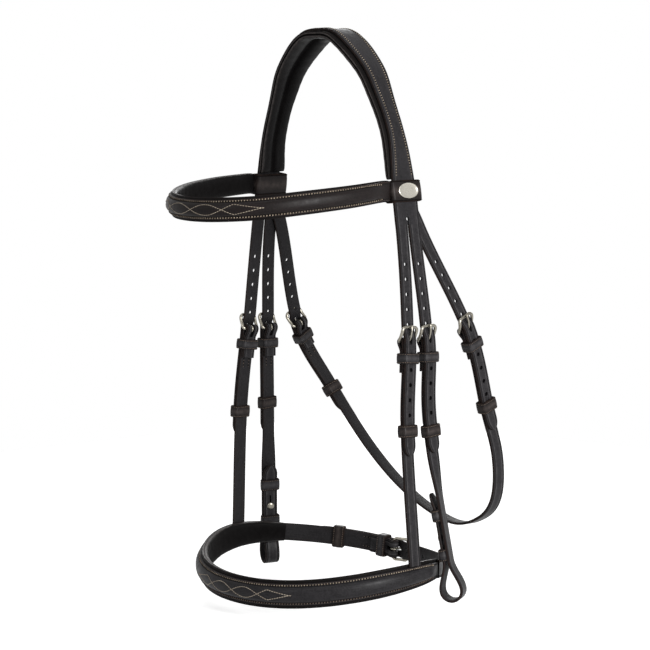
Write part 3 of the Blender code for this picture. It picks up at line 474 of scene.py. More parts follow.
# A strap's section and its ends
END_ROUND = 0.5 * MM
END_ROUND_SHARES = np.array((0.0, 0.08, 0.25, 0.5, 1.0))
END_THICKNESS = 0.3
TIP_ROWS = 16
TIP_LAST_TURN = 0.09
NARROW = 4.6 * MM
NARROWEST_SHARE = 0.02
WORN = 0.8 * MM
MIDDLE_SHARES = np.array((-0.5, 0.0, 0.5))
# Insets from a strap's edge, with how far its face drops there: a rounded edge and a creased line
EDGE_FACE = np.array((
    (0.08, 0.5), (0.3, 0.2), (0.65, 0.05), (1.1, 0.0), (1.7, 0.22), (2.2, 0.03), (2.9, 0.0), (3.6, 0.0),
)) * MM
EDGE_BACK = np.array(((0.1, 0.45), (0.3, 0.14), (0.7, 0.0))) * MM
# How much painted shade, below nought, or painted highlight, above it, the face takes at each of its insets,
# the edge and the back: shade along the edge, in the crease and over the back, highlight on the ridges
EDGE_SHADE_AND_HIGHLIGHT = np.array((-1.0, -1.0, -0.7, 0.35, -1.0, -0.4, 0.7, 0.15))
RIM_SHADE = -0.5
BACK_SHADE = -0.3

# Stitches, the near-black marks painted as shade in their awl holes, and where they run
STITCH_PITCH = 2.2 * MM
STITCH_LENGTH = 1.1 * MM
STITCH_RADIUS = 0.46 * MM
STITCH_INSET = 2.3 * MM
STITCH_SLANT = math.radians(14)
HOLE_SHADE_LENGTH = 0.95 * MM
HOLE_SHADE_RADIUS = 0.5 * MM
WIDE_PITCH = 2.3 * MM
WIDE_LENGTH = 1.35 * MM
WIDE_SLANT = math.radians(34)
FINE_PITCH = 1.6 * MM
FINE_LENGTH = 1.0 * MM
FINE_RADIUS = 0.28 * MM
FANCY_PITCH = 2.2 * MM
FANCY_LENGTH = 2.05 * MM
FANCY_RADIUS = 0.3 * MM
CROWN_SEAM_INSETS = {-1: 4.4 * MM, 1: 2.8 * MM}
INNER_SEAM_REACH = 9 * MM
INNER_SEAM_INSET = 1.5 * STITCH_INSET
PAD_SEAM_REACH = 70 * MM
PAD_SEAM_INSET = 2.2 * MM
PAD_SEAM_DEPTH = 0.5
# A stitch's five rings: shares of its half length and of its radius, and how high its middle lies
STITCH_SHARES = np.array((-1.0, -0.72, 0.0, 0.72, 1.0))
STITCH_WIDTH_SHARES = np.array((0.35, 0.85, 1.0, 0.85, 0.35))
STITCH_RISE = 0.45
STITCH_SINK = 1.1

# Keepers and loops: places across the face as shares from edge to middle, its crown and its seam
BAND_SHARES = np.array((0.0, 0.03, 0.1, 0.2, 0.3, 0.42, 0.6, 0.8))
KEEPER_CROWN = 0.45 * MM
KEEPER_SEAM = 1.15 * MM
KEEPER_SEAM_LIFT = 0.3 * KEEPER_CROWN
BAND_GROOVE_WIDTH = 0.07
BAND_GROOVE_DEPTH = 0.3
BAND_EDGE_SHARE = 0.9
# Where painted shade darkens a keeper's rims, and over what share
BAND_RIM_SHADE_SHARE = 0.86
BAND_RIM_SHADE_WIDTH = 0.1
BAND_WEAR = 8
BAND_BACK_SHARE = 0.94
# Painted highlight on a keeper's crowned middle, and how far towards its edges it reaches
BAND_HIGHLIGHT = 0.45
BAND_HIGHLIGHT_REACH = 0.6
BAND_BACK_COLUMNS = 5

# Raised fronts: shares of the half height where the roll ends, the rows lie and the rim is
FLANGE = 1.5 * MM
FLAT_END = 26 * MM
GROOVE_DEPTH = 0.16 * MM
SEAM_SINK = 0.05 * MM
ROLL_SHARE = 0.72
ROLL_POWER = 2.4
ROLL_FOOT_SHARE = 0.74
ROW_SHARE = 0.855
RIM_SHARE = 0.955
ROW_DRAWN_IN = 0.13
ROW_WIDTH = 0.035
RIM_FALL = 0.55
FRONT_END_SHARE = 0.4
FRONT_WEAR = 7
SEAM_START_SHARE = 0.3
FRONT_BACK_COLUMNS = 7
# Places across a front as shares from its edge to its middle
FRONT_SHARES = np.concatenate([
    [0.0, 0.012, 0.03, 0.07], np.linspace(0.115, 0.3, 5), np.linspace(0.33, 0.55, 5), np.linspace(0.6, 1, 6),
])
# Painted highlight on a front's rim, and painted shade at its rows and at the roll's foot: the place, width
# and strength of each
FRONT_SHADE_AND_HIGHLIGHT = ((RIM_SHARE, 0.025, 0.7), (ROW_SHARE, 0.04, -1.0), (ROLL_FOOT_SHARE, 0.03, -0.8))
FANCY_HEIGHT = 4.1 * MM
BROW_DIAMOND = 29 * MM
NOSE_DIAMOND = 26 * MM
# The last diamond's outline, in diamonds from the middle and shares of its height
KITE_SHARES = ((1, 0), (1.12, 0.38), (1.22, 0.68), (1.3, 0.9), (1.36, 0.95), (2.0, 0.06), (2.12, 0))

# Pads
PAD_TAPER = 16 * MM
PAD_THIN = 0.35
CROWN_TAPER = 5 * MM
CROWN_THIN = 0.85
CROWN_EASE = 8 * MM
PUCKER = 0.12 * MM
PUCKER_PITCH = 9 * MM
SLOW_PUCKER_PITCH = 41 * MM
SLOW_PUCKER_SHARE = 1.5
PAD_END_SHARE = 0.6
PAD_WORN_SHARE = 0.93
PAD_WEAR = 4
# Shares of a pad's half width and depth, and its painted shade, below nought, or painted highlight, above it,
# there: highlight on the rolls' crowns, shade in the valley and towards the back
ROLLED_HALF_SHARES = (
    (0.84, 0.0, -0.5), (0.96, 0.1, 0.2), (1.0, 0.26, 1.0), (0.965, 0.4, -0.3), (0.9, 0.47, -1.0),
    (0.95, 0.55, -0.2), (1.0, 0.72, 1.0), (0.93, 0.9, 0.1), (0.6, 1.0, 0.0), (0.32, 0.88, -0.2),
    (0.1, 0.56, -1.0),
)
SMOOTH_HALF_SHARES = (
    (0.86, 0.0, -0.5), (0.99, 0.3, 0.6), (0.98, 0.65, 0.4), (0.8, 0.95, -0.3), (0.4, 1.0, -0.75),
)

# Metal: shares of the plate's half size and thickness, and of the stud's stem and head
PLATE_SHARES = np.array((
    (0.2, 0.0), (0.98, 0.0), (1.0, 0.25), (1.0, 0.8), (0.97, 1.0), (0.9, 1.0), (0.86, 0.8), (0.84, 0.72),
    (0.5, 0.8), (0.2, 0.84),
))
PLATE_COLUMNS = 48
STUD_COLUMNS = 28
STUD_CENTRE_SHARE = 0.2
STUD_RIM_SHARE = 0.35
KEYHOLE_SLOT_SHARE = 0.35
TOP_BAR_SWELL = 0.14
WIRE_COLUMNS = 16
TONGUE_ROWS = 70
TONGUE_TIP = 1.2 * TONGUE_RADIUS
TONGUE_TIP_SHARE = 0.35
# A small tilt of the direction up, so that it never lies along the wire
NUDGE = 1e-6

# A length down a billet from its top, where a bending billet's two places are read
BEND_RUN = 16 * MM

# Points of the lines: the poll and the near loop on the crown, the browband's middle, the noseband's ring
POLL_KNOT = len(CROWN_LINE_SHARES) + 2
LOOP_KNOT = 2 * POLL_KNOT - 1
BROW_KNOT = len(BROW_LINE_SHARES) + 1
RING_ARC = 150
RING_KNOTS = 21
REAR_KNOTS = 17
FORE_AND_AFT, UPRIGHT = (0, 1, 0), (0, 0, 1)
SIDES = (("left", 1), ("right", -1))


# Materials: how many clouds, cells, streaks or bands lie in a metre, and how high they stand
TONE_CLOUDS = 38.0
MOTTLE_CLOUDS = 260.0
PORES = 2600.0
PEBBLES = 900.0
PADDING_PEBBLES = 650.0
STREAKS_ALONG = 70.0
STREAKS_ACROSS = 1300.0
GRAIN_HEIGHT = 0.12 * MM
STAINS = 120.0
SCRATCHES = 900.0
SCRATCH_HEIGHT = 0.03 * MM
SOIL_CLOUDS = 180.0
TWIST_BANDS = 700.0
TWIST_HEIGHT = 0.1 * MM
# The near-black painted as shade into creases, grooves, edges and valleys
CREASE_SHADE_COLOUR = (0.002, 0.0016, 0.0016)


def group(name, inputs, outputs):
    """A shader node group with named inputs and outputs of the given kinds, and the sockets inside."""
    tree = bpy.data.node_groups.new(name, "ShaderNodeTree")
    for way, sockets in (("INPUT", inputs), ("OUTPUT", outputs)):
        for label, kind in sockets.items():
            tree.interface.new_socket(label, in_out=way, socket_type=f"NodeSocket{kind}")
    return tree, tree.nodes.new("NodeGroupInput").outputs, tree.nodes.new("NodeGroupOutput").inputs


def feed(tree, socket, value):
    """Joins an output to a socket, or sets the socket's own value. A colour gets its alpha here."""
    if isinstance(value, bpy.types.NodeSocket):
        tree.links.new(value, socket)
    else:
        socket.default_value = (*value, 1) if isinstance(value, tuple) else value


def node(tree, kind, inputs=(), **settings):
    """Adds a node; inputs are pairs of a socket and what feeds it."""
    made = tree.nodes.new(kind)
    for key, value in settings.items():
        setattr(made, key, value)
    for socket, value in inputs:
        feed(tree, made.inputs[socket], value)
    return made


def maths(tree, operation, *values):
    """One sum of up to three values."""
    return node(tree, "ShaderNodeMath", enumerate(values), operation=operation).outputs[0]


def plus(tree, first, second):
    return maths(tree, "ADD", first, second)


def times(tree, first, second):
    return maths(tree, "MULTIPLY", first, second)


def mapped(tree, value, low, high, to_low, to_high):
    """A value carried from one range to another in a straight line, and held at its ends."""
    pairs = (("Value", value), ("From Min", low), ("From Max", high), ("To Min", to_low), ("To Max", to_high))
    return node(tree, "ShaderNodeMapRange", pairs).outputs[0]


def mixed(tree, factor, first, second):
    """A colour between two, all the second where the factor is one."""
    made = node(tree, "ShaderNodeMix", [(0, factor)], data_type="RGBA")
    feed(tree, made.inputs[6], first)
    feed(tree, made.inputs[7], second)
    return made.outputs[2]


def noise(tree, place, scale, detail, distortion=0.0):
    """Cloudy noise from nought to one: scale is its number of clouds in a metre."""
    pairs = (("Vector", place), ("Scale", scale), ("Detail", detail), ("Distortion", distortion))
    return node(tree, "ShaderNodeTexNoise", pairs).outputs["Fac"]


def mark(tree, name):
    """A value that skin wrote on each point."""
    return node(tree, "ShaderNodeAttribute", attribute_name=name).outputs["Fac"]


def object_place(tree):
    """Each point's place in its object's own metres."""
    return node(tree, "ShaderNodeTexCoord").outputs["Object"]


def raised(tree, height, depth, strength):
    """The normal of a surface that a height raises by a depth."""
    pairs = (("Height", height), ("Distance", depth), ("Strength", strength))
    return node(tree, "ShaderNodeBump", pairs).outputs["Normal"]


def leather_group():
    """Grain of pebbles and pores, soft changes of tone, fine streaks along the strap, painted shade in
    the creases, which are also dull, painted highlights on the ridges, and a worn edge."""
    tree, given, result = group(
        "Leather grain",
        {"Skin": "Color", "Deep": "Color", "Edge": "Color", "Painted highlight": "Color", "Grain size": "Float",
         "Grain depth": "Float"},
        {"Colour": "Color", "Roughness": "Float", "Normal": "Vector"},
    )
    # line: painted shade below nought, painted highlight above it
    place, line, worn = object_place(tree), mark(tree, "line"), mark(tree, "worn")
    size = given["Grain size"]
    cells = node(tree, "ShaderNodeTexVoronoi", [("Vector", place), ("Scale", size)], feature="SMOOTH_F1")
    pebble = cells.outputs["Distance"]
    pores = noise(tree, place, PORES, 2.0)
    tone = noise(tree, place, TONE_CLOUDS, 4.0)
    mottle = noise(tree, place, MOTTLE_CLOUDS, 3.0)
    drawn = node(tree, "ShaderNodeCombineXYZ", [
        (0, times(tree, mark(tree, "along"), STREAKS_ALONG)),
        (1, times(tree, mark(tree, "across"), STREAKS_ACROSS)),
    ]).outputs[0]
    streak = noise(tree, drawn, 1.0, 2.0)
    soft = plus(tree, times(tree, tone, 0.2), times(tree, mottle, 0.2))
    fine = plus(tree, times(tree, streak, 0.35), times(tree, pebble, 0.3))
    shade = mapped(tree, plus(tree, soft, fine), 0.39, 0.57, 0.0, 1.0)
    colour = mixed(tree, shade, given["Deep"], given["Skin"])
    # Painted shade: creases and edges darkened towards near-black
    colour = mixed(tree, mapped(tree, line, 0.0, -1.0, 0.0, 0.85), colour, CREASE_SHADE_COLOUR)
    # Painted highlight: ridges and roll crowns lightened towards the highlight colour, and made smoother
    highlight_line = mapped(tree, line, 0.0, 1.0, 0.0, 1.0)
    highlight = times(tree, highlight_line, mapped(tree, mottle, 0.3, 0.65, 0.35, 1.0))
    colour = mixed(tree, highlight, colour, given["Painted highlight"])
    frayed = times(tree, worn, mapped(tree, mottle, 0.35, 0.65, 0.2, 1.0))
    feed(tree, result["Colour"], mixed(tree, frayed, colour, given["Edge"]))
    rough = plus(tree, mapped(tree, mottle, 0.3, 0.7, 0.38, 0.52), times(tree, frayed, 0.15))
    buffed = maths(tree, "SUBTRACT", rough, times(tree, highlight, 0.12))
    feed(tree, result["Roughness"], plus(tree, buffed, mapped(tree, line, -1.0, 0.0, 0.5, 0.0)))
    grain = plus(tree, times(tree, pebble, given["Grain depth"]), times(tree, pores, 0.15))
    height = plus(tree, grain, times(tree, streak, 0.25))
    feed(tree, result["Normal"], raised(tree, height, GRAIN_HEIGHT, 0.55))
    return tree


def metal_group():
    """Fine scratches that run every way, faint stains in cloudy patches and a slightly uneven polish."""
    tree, given, result = group(
        "Worn polish", {"Bright": "Color", "Stain": "Color"},
        {"Colour": "Color", "Roughness": "Float", "Normal": "Vector"},
    )
    place = object_place(tree)
    stained = mapped(tree, noise(tree, place, STAINS, 5.0), 0.5, 0.75, 0.0, 0.5)
    feed(tree, result["Colour"], mixed(tree, stained, given["Bright"], given["Stain"]))
    scratch = noise(tree, place, SCRATCHES, 4.0, 2.0)
    feed(tree, result["Roughness"], mapped(tree, scratch, 0.3, 0.7, 0.2, 0.36))
    feed(tree, result["Normal"], raised(tree, scratch, SCRATCH_HEIGHT, 0.4))
    return tree


def thread_group():
    """Twisted thread: slanting bands along each stitch, with some stitches more soiled than others."""
    tree, given, result = group(
        "Twisted thread", {"Clean": "Color", "Soiled": "Color"}, {"Colour": "Color", "Normal": "Vector"},
    )
    place = object_place(tree)
    soil = mapped(tree, noise(tree, place, SOIL_CLOUDS, 3.0), 0.35, 0.7, 0.0, 1.0)
    feed(tree, result["Colour"], mixed(tree, soil, given["Clean"], given["Soiled"]))
    pairs = [("Vector", place), ("Scale", TWIST_BANDS), ("Distortion", 1.5)]
    twist = node(tree, "ShaderNodeTexWave", pairs, bands_direction="DIAGONAL").outputs["Fac"]
    feed(tree, result["Normal"], raised(tree, twist, TWIST_HEIGHT, 0.5))
    return tree


def material(name, tree, values, roughness=0.4, **shader):
    """A material whose colour, normal and, where the group has one, roughness come from a group."""
    made = bpy.data.materials.new(name)
    made.use_nodes = True
    surface = made.node_tree.nodes["Principled BSDF"]
    kit = made.node_tree.nodes.new("ShaderNodeGroup")
    kit.node_tree = tree
    for label, value in values.items():
        feed(made.node_tree, kit.inputs[label], value)
    surface.inputs["Roughness"].default_value = roughness
    for output, socket in (("Colour", "Base Color"), ("Normal", "Normal"), ("Roughness", "Roughness")):
        if output in kit.outputs:
            feed(made.node_tree, surface.inputs[socket], kit.outputs[output])
    for label, value in shader.items():
        surface.inputs[label.replace("_", " ")].default_value = value
    return made


def leather(name, skin, deep, edge, highlight_colour, shine, grain_size=PEBBLES, grain_depth=0.3):
    """Leather of the grain group, with its colours from the face to the highlight painted on its ridges."""
    return material(name, GRAIN, {
        "Skin": skin, "Deep": deep, "Edge": edge, "Painted highlight": highlight_colour, "Grain size": grain_size,
        "Grain depth": grain_depth,
    }, Specular_IOR_Level=shine)


def metal(name, bright, stain):
    return material(name, POLISH, {"Bright": bright, "Stain": stain}, Metallic=1.0)


def thread(name, clean, soiled, roughness=0.7, **shader):
    return material(name, THREAD, {"Clean": clean, "Soiled": soiled}, roughness, **shader)


GRAIN, POLISH, THREAD = leather_group(), metal_group(), thread_group()
# Each leather's fourth colour is its painted highlight
DARK = leather("Dark bridle leather", (0.0175, 0.0163, 0.0178), (0.0072, 0.0067, 0.0073),
               (0.018, 0.011, 0.009), (0.075, 0.071, 0.073), 0.11)
BROWN = leather("Brown bridle leather", (0.0098, 0.007, 0.0067), (0.005, 0.0036, 0.0034),
                (0.026, 0.015, 0.011), (0.075, 0.061, 0.056), 0.11)
LINING = leather("Soft padding leather", (0.0028, 0.0024, 0.0025), (0.0014, 0.0012, 0.0012),
                 (0.02, 0.013, 0.01), (0.085, 0.075, 0.073), 0.07, PADDING_PEBBLES, 0.5)
METAL = metal("Pewter-grey steel", (0.24, 0.225, 0.19), (0.08, 0.07, 0.053))
PLATE = metal("Pale plate metal", (0.5, 0.475, 0.42), (0.3, 0.27, 0.22))
THREADS = {
    "cream": thread("Cream thread", (0.34, 0.29, 0.225), (0.2, 0.16, 0.12)),
    "tan": thread("Tan thread", (0.36, 0.29, 0.215), (0.13, 0.1, 0.072)),
    "dark": thread("Brown thread", (0.105, 0.072, 0.05), (0.04, 0.028, 0.022)),
    # Near-black and dull: painted shade in the awl holes, and the stitches of the browband loops
    "pit": thread("Dark thread and painted hole shade", (0.002, 0.0016, 0.0015), (0.004, 0.003, 0.0025), 0.9,
                  Specular_IOR_Level=0.02),
}


# Surfaces
def spread(start, stop, step, ends=(True, True)):
    """Lengths from start to stop, even but for a few close to each end that is rounded."""
    near = END_ROUND_SHARES * END_ROUND
    sign = 1 if stop > start else -1
    low = start + sign * (near if ends[0] else near[:1])
    high = stop - sign * (near if ends[1] else near[:1])[::-1]
    count = max(2, int(abs(stop - start) / step))
    return np.concatenate([low, np.linspace(low[-1], high[0], count)[1:-1], high])


def evenly(start, stop, step=ROW):
    """Even lengths from start to stop."""
    return spread(start, stop, step, (False, False))


def level(lengths, out=0.0):
    """A path of lengths that all lie as far outward."""
    return np.column_stack([lengths, np.full(len(lengths), out)])


def distance(mid):
    """The length along a line of points, from its start."""
    return np.concatenate([[0], np.cumsum(np.linalg.norm(np.diff(mid, axis=0), axis=1))])


def placed(matrix, points):
    """Points turned and moved by a matrix."""
    turned = np.array(matrix)
    return points @ turned[:3, :3].T + turned[:3, 3]


def on_route(route, lengths, outward=0.0):
    """The line at lengths down a route and outward from it, and the route's sideways direction there."""
    lengths = np.asarray(lengths, dtype=float)
    return route.place(lengths, 0.0, outward), unit(route.read(route.across, lengths))


def on_path(route, path):
    """The same for a path: a column of lengths and a column of outward distances."""
    return on_route(route, path[:, 0], path[:, 1])


def carried(mid, sideways, across, out, closed=False):
    """Points of a profile carried along a line: the line, plus across along sideways, plus out along
    the cross product of the line's direction and sideways."""
    before, after = (np.roll(mid, 1, 0), np.roll(mid, -1, 0)) if closed else (mid, mid)
    down = unit(after - before) if closed else unit(np.gradient(mid, axis=0))
    normal = unit(np.cross(down, sideways))
    return mid[:, None] + sideways[:, None] * across[..., None] + normal[:, None] * out[..., None]


def rounded(points, count, closed=False):
    """A line or a closed outline through points, rounded: each piece is the cubic that passes through
    two neighbours and takes its slopes from the points beyond them."""
    table = np.array(points, float)
    if closed:
        at = np.linspace(0, len(table), count, endpoint=False)
        place = at.astype(int)
        four = [table[(place + step) % len(table)] for step in (-1, 0, 1, 2)]
    else:
        table = np.vstack([2 * table[0] - table[1], table, 2 * table[-1] - table[-2]])
        at = np.linspace(0, len(points) - 1, count)
        place = np.minimum(at.astype(int), len(points) - 2)
        four = [table[place + step] for step in (0, 1, 2, 3)]
    return Route.between(four, (at - place)[:, None])


def skin(name, grid, marks, material, body, node, slot, closed=False):
    """Faces over a grid of points, rows along a piece and columns round it, with flat ends unless it
    is closed. marks are values that the material reads, one a point."""
    rows, columns = grid.shape[:2]
    index = np.arange(rows * columns).reshape(rows, columns)
    low = index if closed else index[:-1]
    high = np.roll(index, -1, 0) if closed else index[1:]
    quads = np.stack([low, np.roll(low, -1, 1), np.roll(high, -1, 1), high], -1).reshape(-1, 4)
    faces = quads.tolist() + ([] if closed else [index[0][::-1].tolist(), index[-1].tolist()])
    mesh = bpy.data.meshes.new(name)
    mesh.from_pydata(grid.reshape(-1, 3).tolist(), [], faces)
    shape = bmesh.new()
    shape.from_mesh(mesh)
    bmesh.ops.recalc_face_normals(shape, faces=shape.faces)
    shape.to_mesh(mesh)
    shape.free()
    return finished(name, mesh, marks, (rows, columns), material, body, node, slot)


def finished(name, mesh, marks, shape, material, body, node=None, slot=None):
    """The piece as an object, smooth and with its marks. It rides on its body if it is given one, and
    takes its solid's place."""
    for label, values in marks.items():
        layer = mesh.attributes.new(label, "FLOAT", "POINT")
        layer.data.foreach_set("value", np.broadcast_to(values, shape).astype(np.float32).ravel())
    mesh.shade_smooth()
    mesh.set_sharp_from_angle(angle=SHARP_ANGLE)
    mesh.materials.append(material)
    piece = bpy.data.objects.new(name, mesh)
    bpy.context.scene.collection.objects.link(piece)
    if body:
        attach(piece, body)
    if node:
        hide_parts(node)
    return piece


# Straps
def strap_outline(half, thick):
    """A strap's cross-section, a row a place: across from edge to edge over its face, then back under.

    The edge is round, the face has a creased line near it, and the back is plain. Also gives how much
    of the edge's wear each column takes, and its painted shade or highlight: shade along the edge, in the
    crease and over the back, highlight on the ridges beside the crease.
    """
    half, thick = half[:, None], thick[:, None]
    small = np.clip(half / NARROW, NARROWEST_SHARE, 1)
    thin = thick / LEATHER
    left = -half + EDGE_FACE[:, 0] * small
    left_out = thick / 2 - EDGE_FACE[:, 1] * small * thin
    inner = MIDDLE_SHARES * (half - EDGE_FACE[-1, 0] * small)
    under = half - EDGE_BACK[:, 0] * small
    under_out = -thick / 2 + EDGE_BACK[:, 1] * small * thin
    flat = np.zeros_like(inner) + thick / 2
    across = np.hstack([-half, left, inner, -left[:, ::-1], half, under, inner[:, ::-1], -under[:, ::-1]])
    face_out = [0 * half, left_out, flat, left_out[:, ::-1]]
    out = np.hstack(face_out + [0 * half, under_out, -flat, under_out[:, ::-1]])
    wear = np.clip(1 - EDGE_FACE[:, 0] / WORN, 0, 1)
    back_wear = np.clip(1 - EDGE_BACK[:, 0] / WORN, 0, 1)
    plain = 0 * MIDDLE_SHARES
    worn = np.hstack([1, wear, plain, wear[::-1], 1, back_wear, plain, back_wear[::-1]])
    back = np.full(len(under[0]) * 2 + len(plain), BACK_SHADE)
    shade_and_highlight = np.hstack([RIM_SHADE, EDGE_SHADE_AND_HIGHLIGHT, plain, EDGE_SHADE_AND_HIGHLIGHT[::-1], RIM_SHADE, back])
    return across, out, worn, shade_and_highlight


def leather_strap(node, mid, sideways, half, body, ends=(True, True), name=None):
    """A strap of rounded section along a line, its ends rounded off where ends says so."""
    half = np.broadcast_to(half, len(mid)).astype(float)
    thick = np.full(len(mid), LEATHER)
    along = distance(mid)
    for place, round_it in ((along, ends[0]), (along[-1] - along, ends[1])):
        if round_it:
            full = quarter(place / END_ROUND)
            half = half - (1 - full) * END_THICKNESS * END_ROUND
            thick = thick * (END_THICKNESS + (1 - END_THICKNESS) * full)
    across, out, worn, shade_and_highlight = strap_outline(half, thick)
    marks = {"worn": worn[None], "line": shade_and_highlight[None], "along": along[:, None], "across": across}
    grid = carried(mid, sideways, across, out)
    return skin(name or f"{node}_look", grid, marks, DARK, body, node, "dark_leather")


def point_end(bottom, sign, width):
    """Lengths and half widths of a strap's rounded point, an ellipse whose long half axis is its length."""
    turn = np.linspace(math.pi / 2, TIP_LAST_TURN, TIP_ROWS)
    return bottom - sign * TIP_LENGTH * (1 - np.cos(turn)), width / 2 * np.sin(turn)


def cut_out(piece, cutters):
    """Takes prisms, each given by the rings of points at its two ends, out of a finished piece."""
    tool = bpy.data.meshes.new("cutter")
    points, faces = [], []
    for ring_low, ring_high in cutters:
        count, start = len(ring_low), len(points)
        points += ring_low.tolist() + ring_high.tolist()
        low, high = range(start, start + count), range(start + count, start + 2 * count)
        faces += [list(low)[::-1], list(high)]
        faces += [[low[i], low[(i + 1) % count], high[(i + 1) % count], high[i]] for i in range(count)]
    tool.from_pydata(points, [], faces)
    cutter = bpy.data.objects.new("cutter", tool)
    bpy.context.scene.collection.objects.link(cutter)
    taken = piece.modifiers.new("Holes", "BOOLEAN")
    taken.operation, taken.solver, taken.object = "DIFFERENCE", "EXACT", cutter
    taken.use_self = True
    bpy.context.view_layer.update()
    shape = bpy.data.meshes.new_from_object(piece.evaluated_get(bpy.context.evaluated_depsgraph_get()))
    piece.modifiers.remove(taken)
    old, piece.data = piece.data, shape
    bpy.data.meshes.remove(old)
    bpy.data.objects.remove(cutter)
    bpy.data.meshes.remove(tool)


def prism(matrix, outline, depth):
    """Two copies of an outline, below and above a place by a depth."""
    lift = np.array((0, 0, depth))
    return [placed(matrix, outline + side * lift) for side in (-1, 1)]


def hole_rings(matrix, long_radius, wide_radius, depth):
    """An oval hole whose long way is the matrix's x."""
    turn = np.linspace(0, 2 * math.pi, HOLE_SIDES, endpoint=False)
    oval = np.stack([long_radius * np.cos(turn), wide_radius * np.sin(turn), 0 * turn], -1)
    return prism(matrix, oval, depth)


def slot_rings(matrix, low, high, half, depth):
    """A square-ended slot from low to high along the matrix's x."""
    outline = np.array(((low, -half, 0), (high, -half, 0), (high, half, 0), (low, half, 0)))
    return prism(matrix, outline, depth)


def crew_rings(route):
    """The slot that the tongue comes through, at the fold round the bar."""
    matrix = route.matrix(0.0, 0.0, -FOLD_RADIUS)
    depth = FOLD_RADIUS + LEATHER
    return slot_rings(matrix, -depth, CREW_SLOT_REACH, CREW_SLOT_WIDTH / 2, depth)


# Stitches, gathered by the body they ride on and the thread's colour
SEAMS = {}


def seam(body, thread, line, normals, pitch=STITCH_PITCH, length=STITCH_LENGTH, radius=STITCH_RADIUS,
         slant=STITCH_SLANT, shift=0.5, pits=False):
    """Marks even stitches along a line on a face, each turned a little in the face from the line, and,
    where asked, a near-black mark between each two: painted shade in the awl hole."""
    if pits:
        seam(body, "pit", line, normals, pitch, HOLE_SHADE_LENGTH, HOLE_SHADE_RADIUS, 0.0, 0.0)
    along = distance(line)
    count = max(1, int(along[-1] / pitch))
    at = (np.arange(count) + shift) * along[-1] / count
    centre, normal = read_at(line, along, at), unit(read_at(normals, along, at))
    ahead = unit(read_at(line, along, at + length / 4) - read_at(line, along, at - length / 4))
    side = unit(np.cross(normal, ahead))
    ahead = unit(ahead * math.cos(slant) + side * math.sin(slant))
    side = unit(np.cross(normal, ahead))
    SEAMS.setdefault((body, thread), []).append((centre, ahead, side, normal, length, radius))


def seam_on(body, thread, mid, sideways, across, out, face=1, **sizes):
    """A seam on a strap or pad: at a distance across it and outward from its middle line, on its
    outer face, or on its inner one where face is -1."""
    across = np.broadcast_to(across, len(mid))
    out = np.broadcast_to(out, len(mid))
    normal = unit(np.cross(unit(np.gradient(mid, axis=0)), sideways))
    seam(body, thread, mid + sideways * across[:, None] + normal * out[:, None], face * normal, **sizes)


def sew_all():
    """Makes each body's stitches one mesh. A stitch is five rings of six points round an arch that
    sinks at its ends: its middle line falls by the square of the share from its middle."""
    rise = STITCH_RISE - STITCH_SINK * STITCH_SHARES**2
    turn = np.linspace(0, 2 * math.pi, STITCH_COLUMNS, endpoint=False)
    wide = STITCH_WIDTH_SHARES[:, None] * np.cos(turn)
    high = rise[:, None] + STITCH_WIDTH_SHARES[:, None] * np.sin(turn)
    index = np.arange(high.size).reshape(high.shape)
    quads = np.stack([index[:-1], np.roll(index[:-1], -1, 1), np.roll(index[1:], -1, 1), index[1:]], -1)
    for (body, thread), rows in SEAMS.items():
        points = []
        for centre, ahead, side, normal, length, radius in rows:
            shape = (
                ahead[:, None, None] * (STITCH_SHARES * length / 2)[None, :, None, None]
                + side[:, None, None] * (wide * radius)[None, :, :, None]
                + normal[:, None, None] * (high * radius)[None, :, :, None]
            )
            points.append((centre[:, None, None] + shape).reshape(-1, high.size, 3))
        points = np.concatenate(points)
        start = high.size * np.arange(len(points))[:, None, None]
        sides = (quads.reshape(-1, 4)[None] + start).reshape(-1, 4).tolist()
        caps = np.stack([index[0], index[-1][::-1]])[None] + start
        caps = caps.reshape(-1, STITCH_COLUMNS).tolist()
        mesh = bpy.data.meshes.new("stitches")
        mesh.from_pydata(points.reshape(-1, 3).tolist(), [], sides + caps)
        mesh.flip_normals()
        finished(f"stitches_{thread}_{body}", mesh, {}, (), THREADS[thread], body)


# Padded and raised pieces
def pad(node, route, lengths, half, depth, half_shares, top, body, taper=PAD_TAPER, thin=PAD_THIN):
    """A padded piece: a rounded outline of shares carried along a route. Its thickness is drawn in a
    little at every few stitches by a sine wave and a slower one, and thins to a share at both ends."""
    other_half = tuple((-across, out, line) for across, out, line in half_shares[::-1])
    outline = rounded(half_shares + other_half, ROUND_COLUMNS, closed=True)
    half = np.broadcast_to(half, len(lengths))[:, None]
    quick = np.sin(lengths * 2 * math.pi / PUCKER_PITCH)
    slow = np.sin(lengths * 2 * math.pi / SLOW_PUCKER_PITCH)
    wave = 1 + PUCKER / abs(depth) * (quick + SLOW_PUCKER_SHARE * slow)[:, None] * np.abs(outline[:, 1])
    end = np.minimum(lengths - lengths[0], lengths[-1] - lengths)[:, None]
    full = quarter(end / (2 * END_ROUND))
    depth = depth * (PAD_END_SHARE + (1 - PAD_END_SHARE) * full) * (thin + (1 - thin) * ease(end / taper))
    across = outline[:, 0] * (half - (1 - full) * END_ROUND)
    mid, sideways = on_route(route, lengths)
    grid = carried(mid, sideways, across, top + outline[:, 1] * depth * wave)
    worn = np.clip(np.abs(outline[:, 0]) - PAD_WORN_SHARE, 0, 1)[None] * PAD_WEAR
    # The outline's third column is painted highlight above nought and painted shade below it
    marks = {"worn": worn, "line": outline[None, :, 2], "along": lengths[:, None], "across": across}
    skin(f"{node}_look", grid, marks, LINING, body, node, "soft_lining")


def roll_height(share):
    """A roll's height over its flange: the root of one less the 2.4th power of the distance from its
    middle, as a share of the roll's half width."""
    return np.sqrt(np.clip(1 - (share / ROLL_SHARE) ** ROLL_POWER, 0, 1))


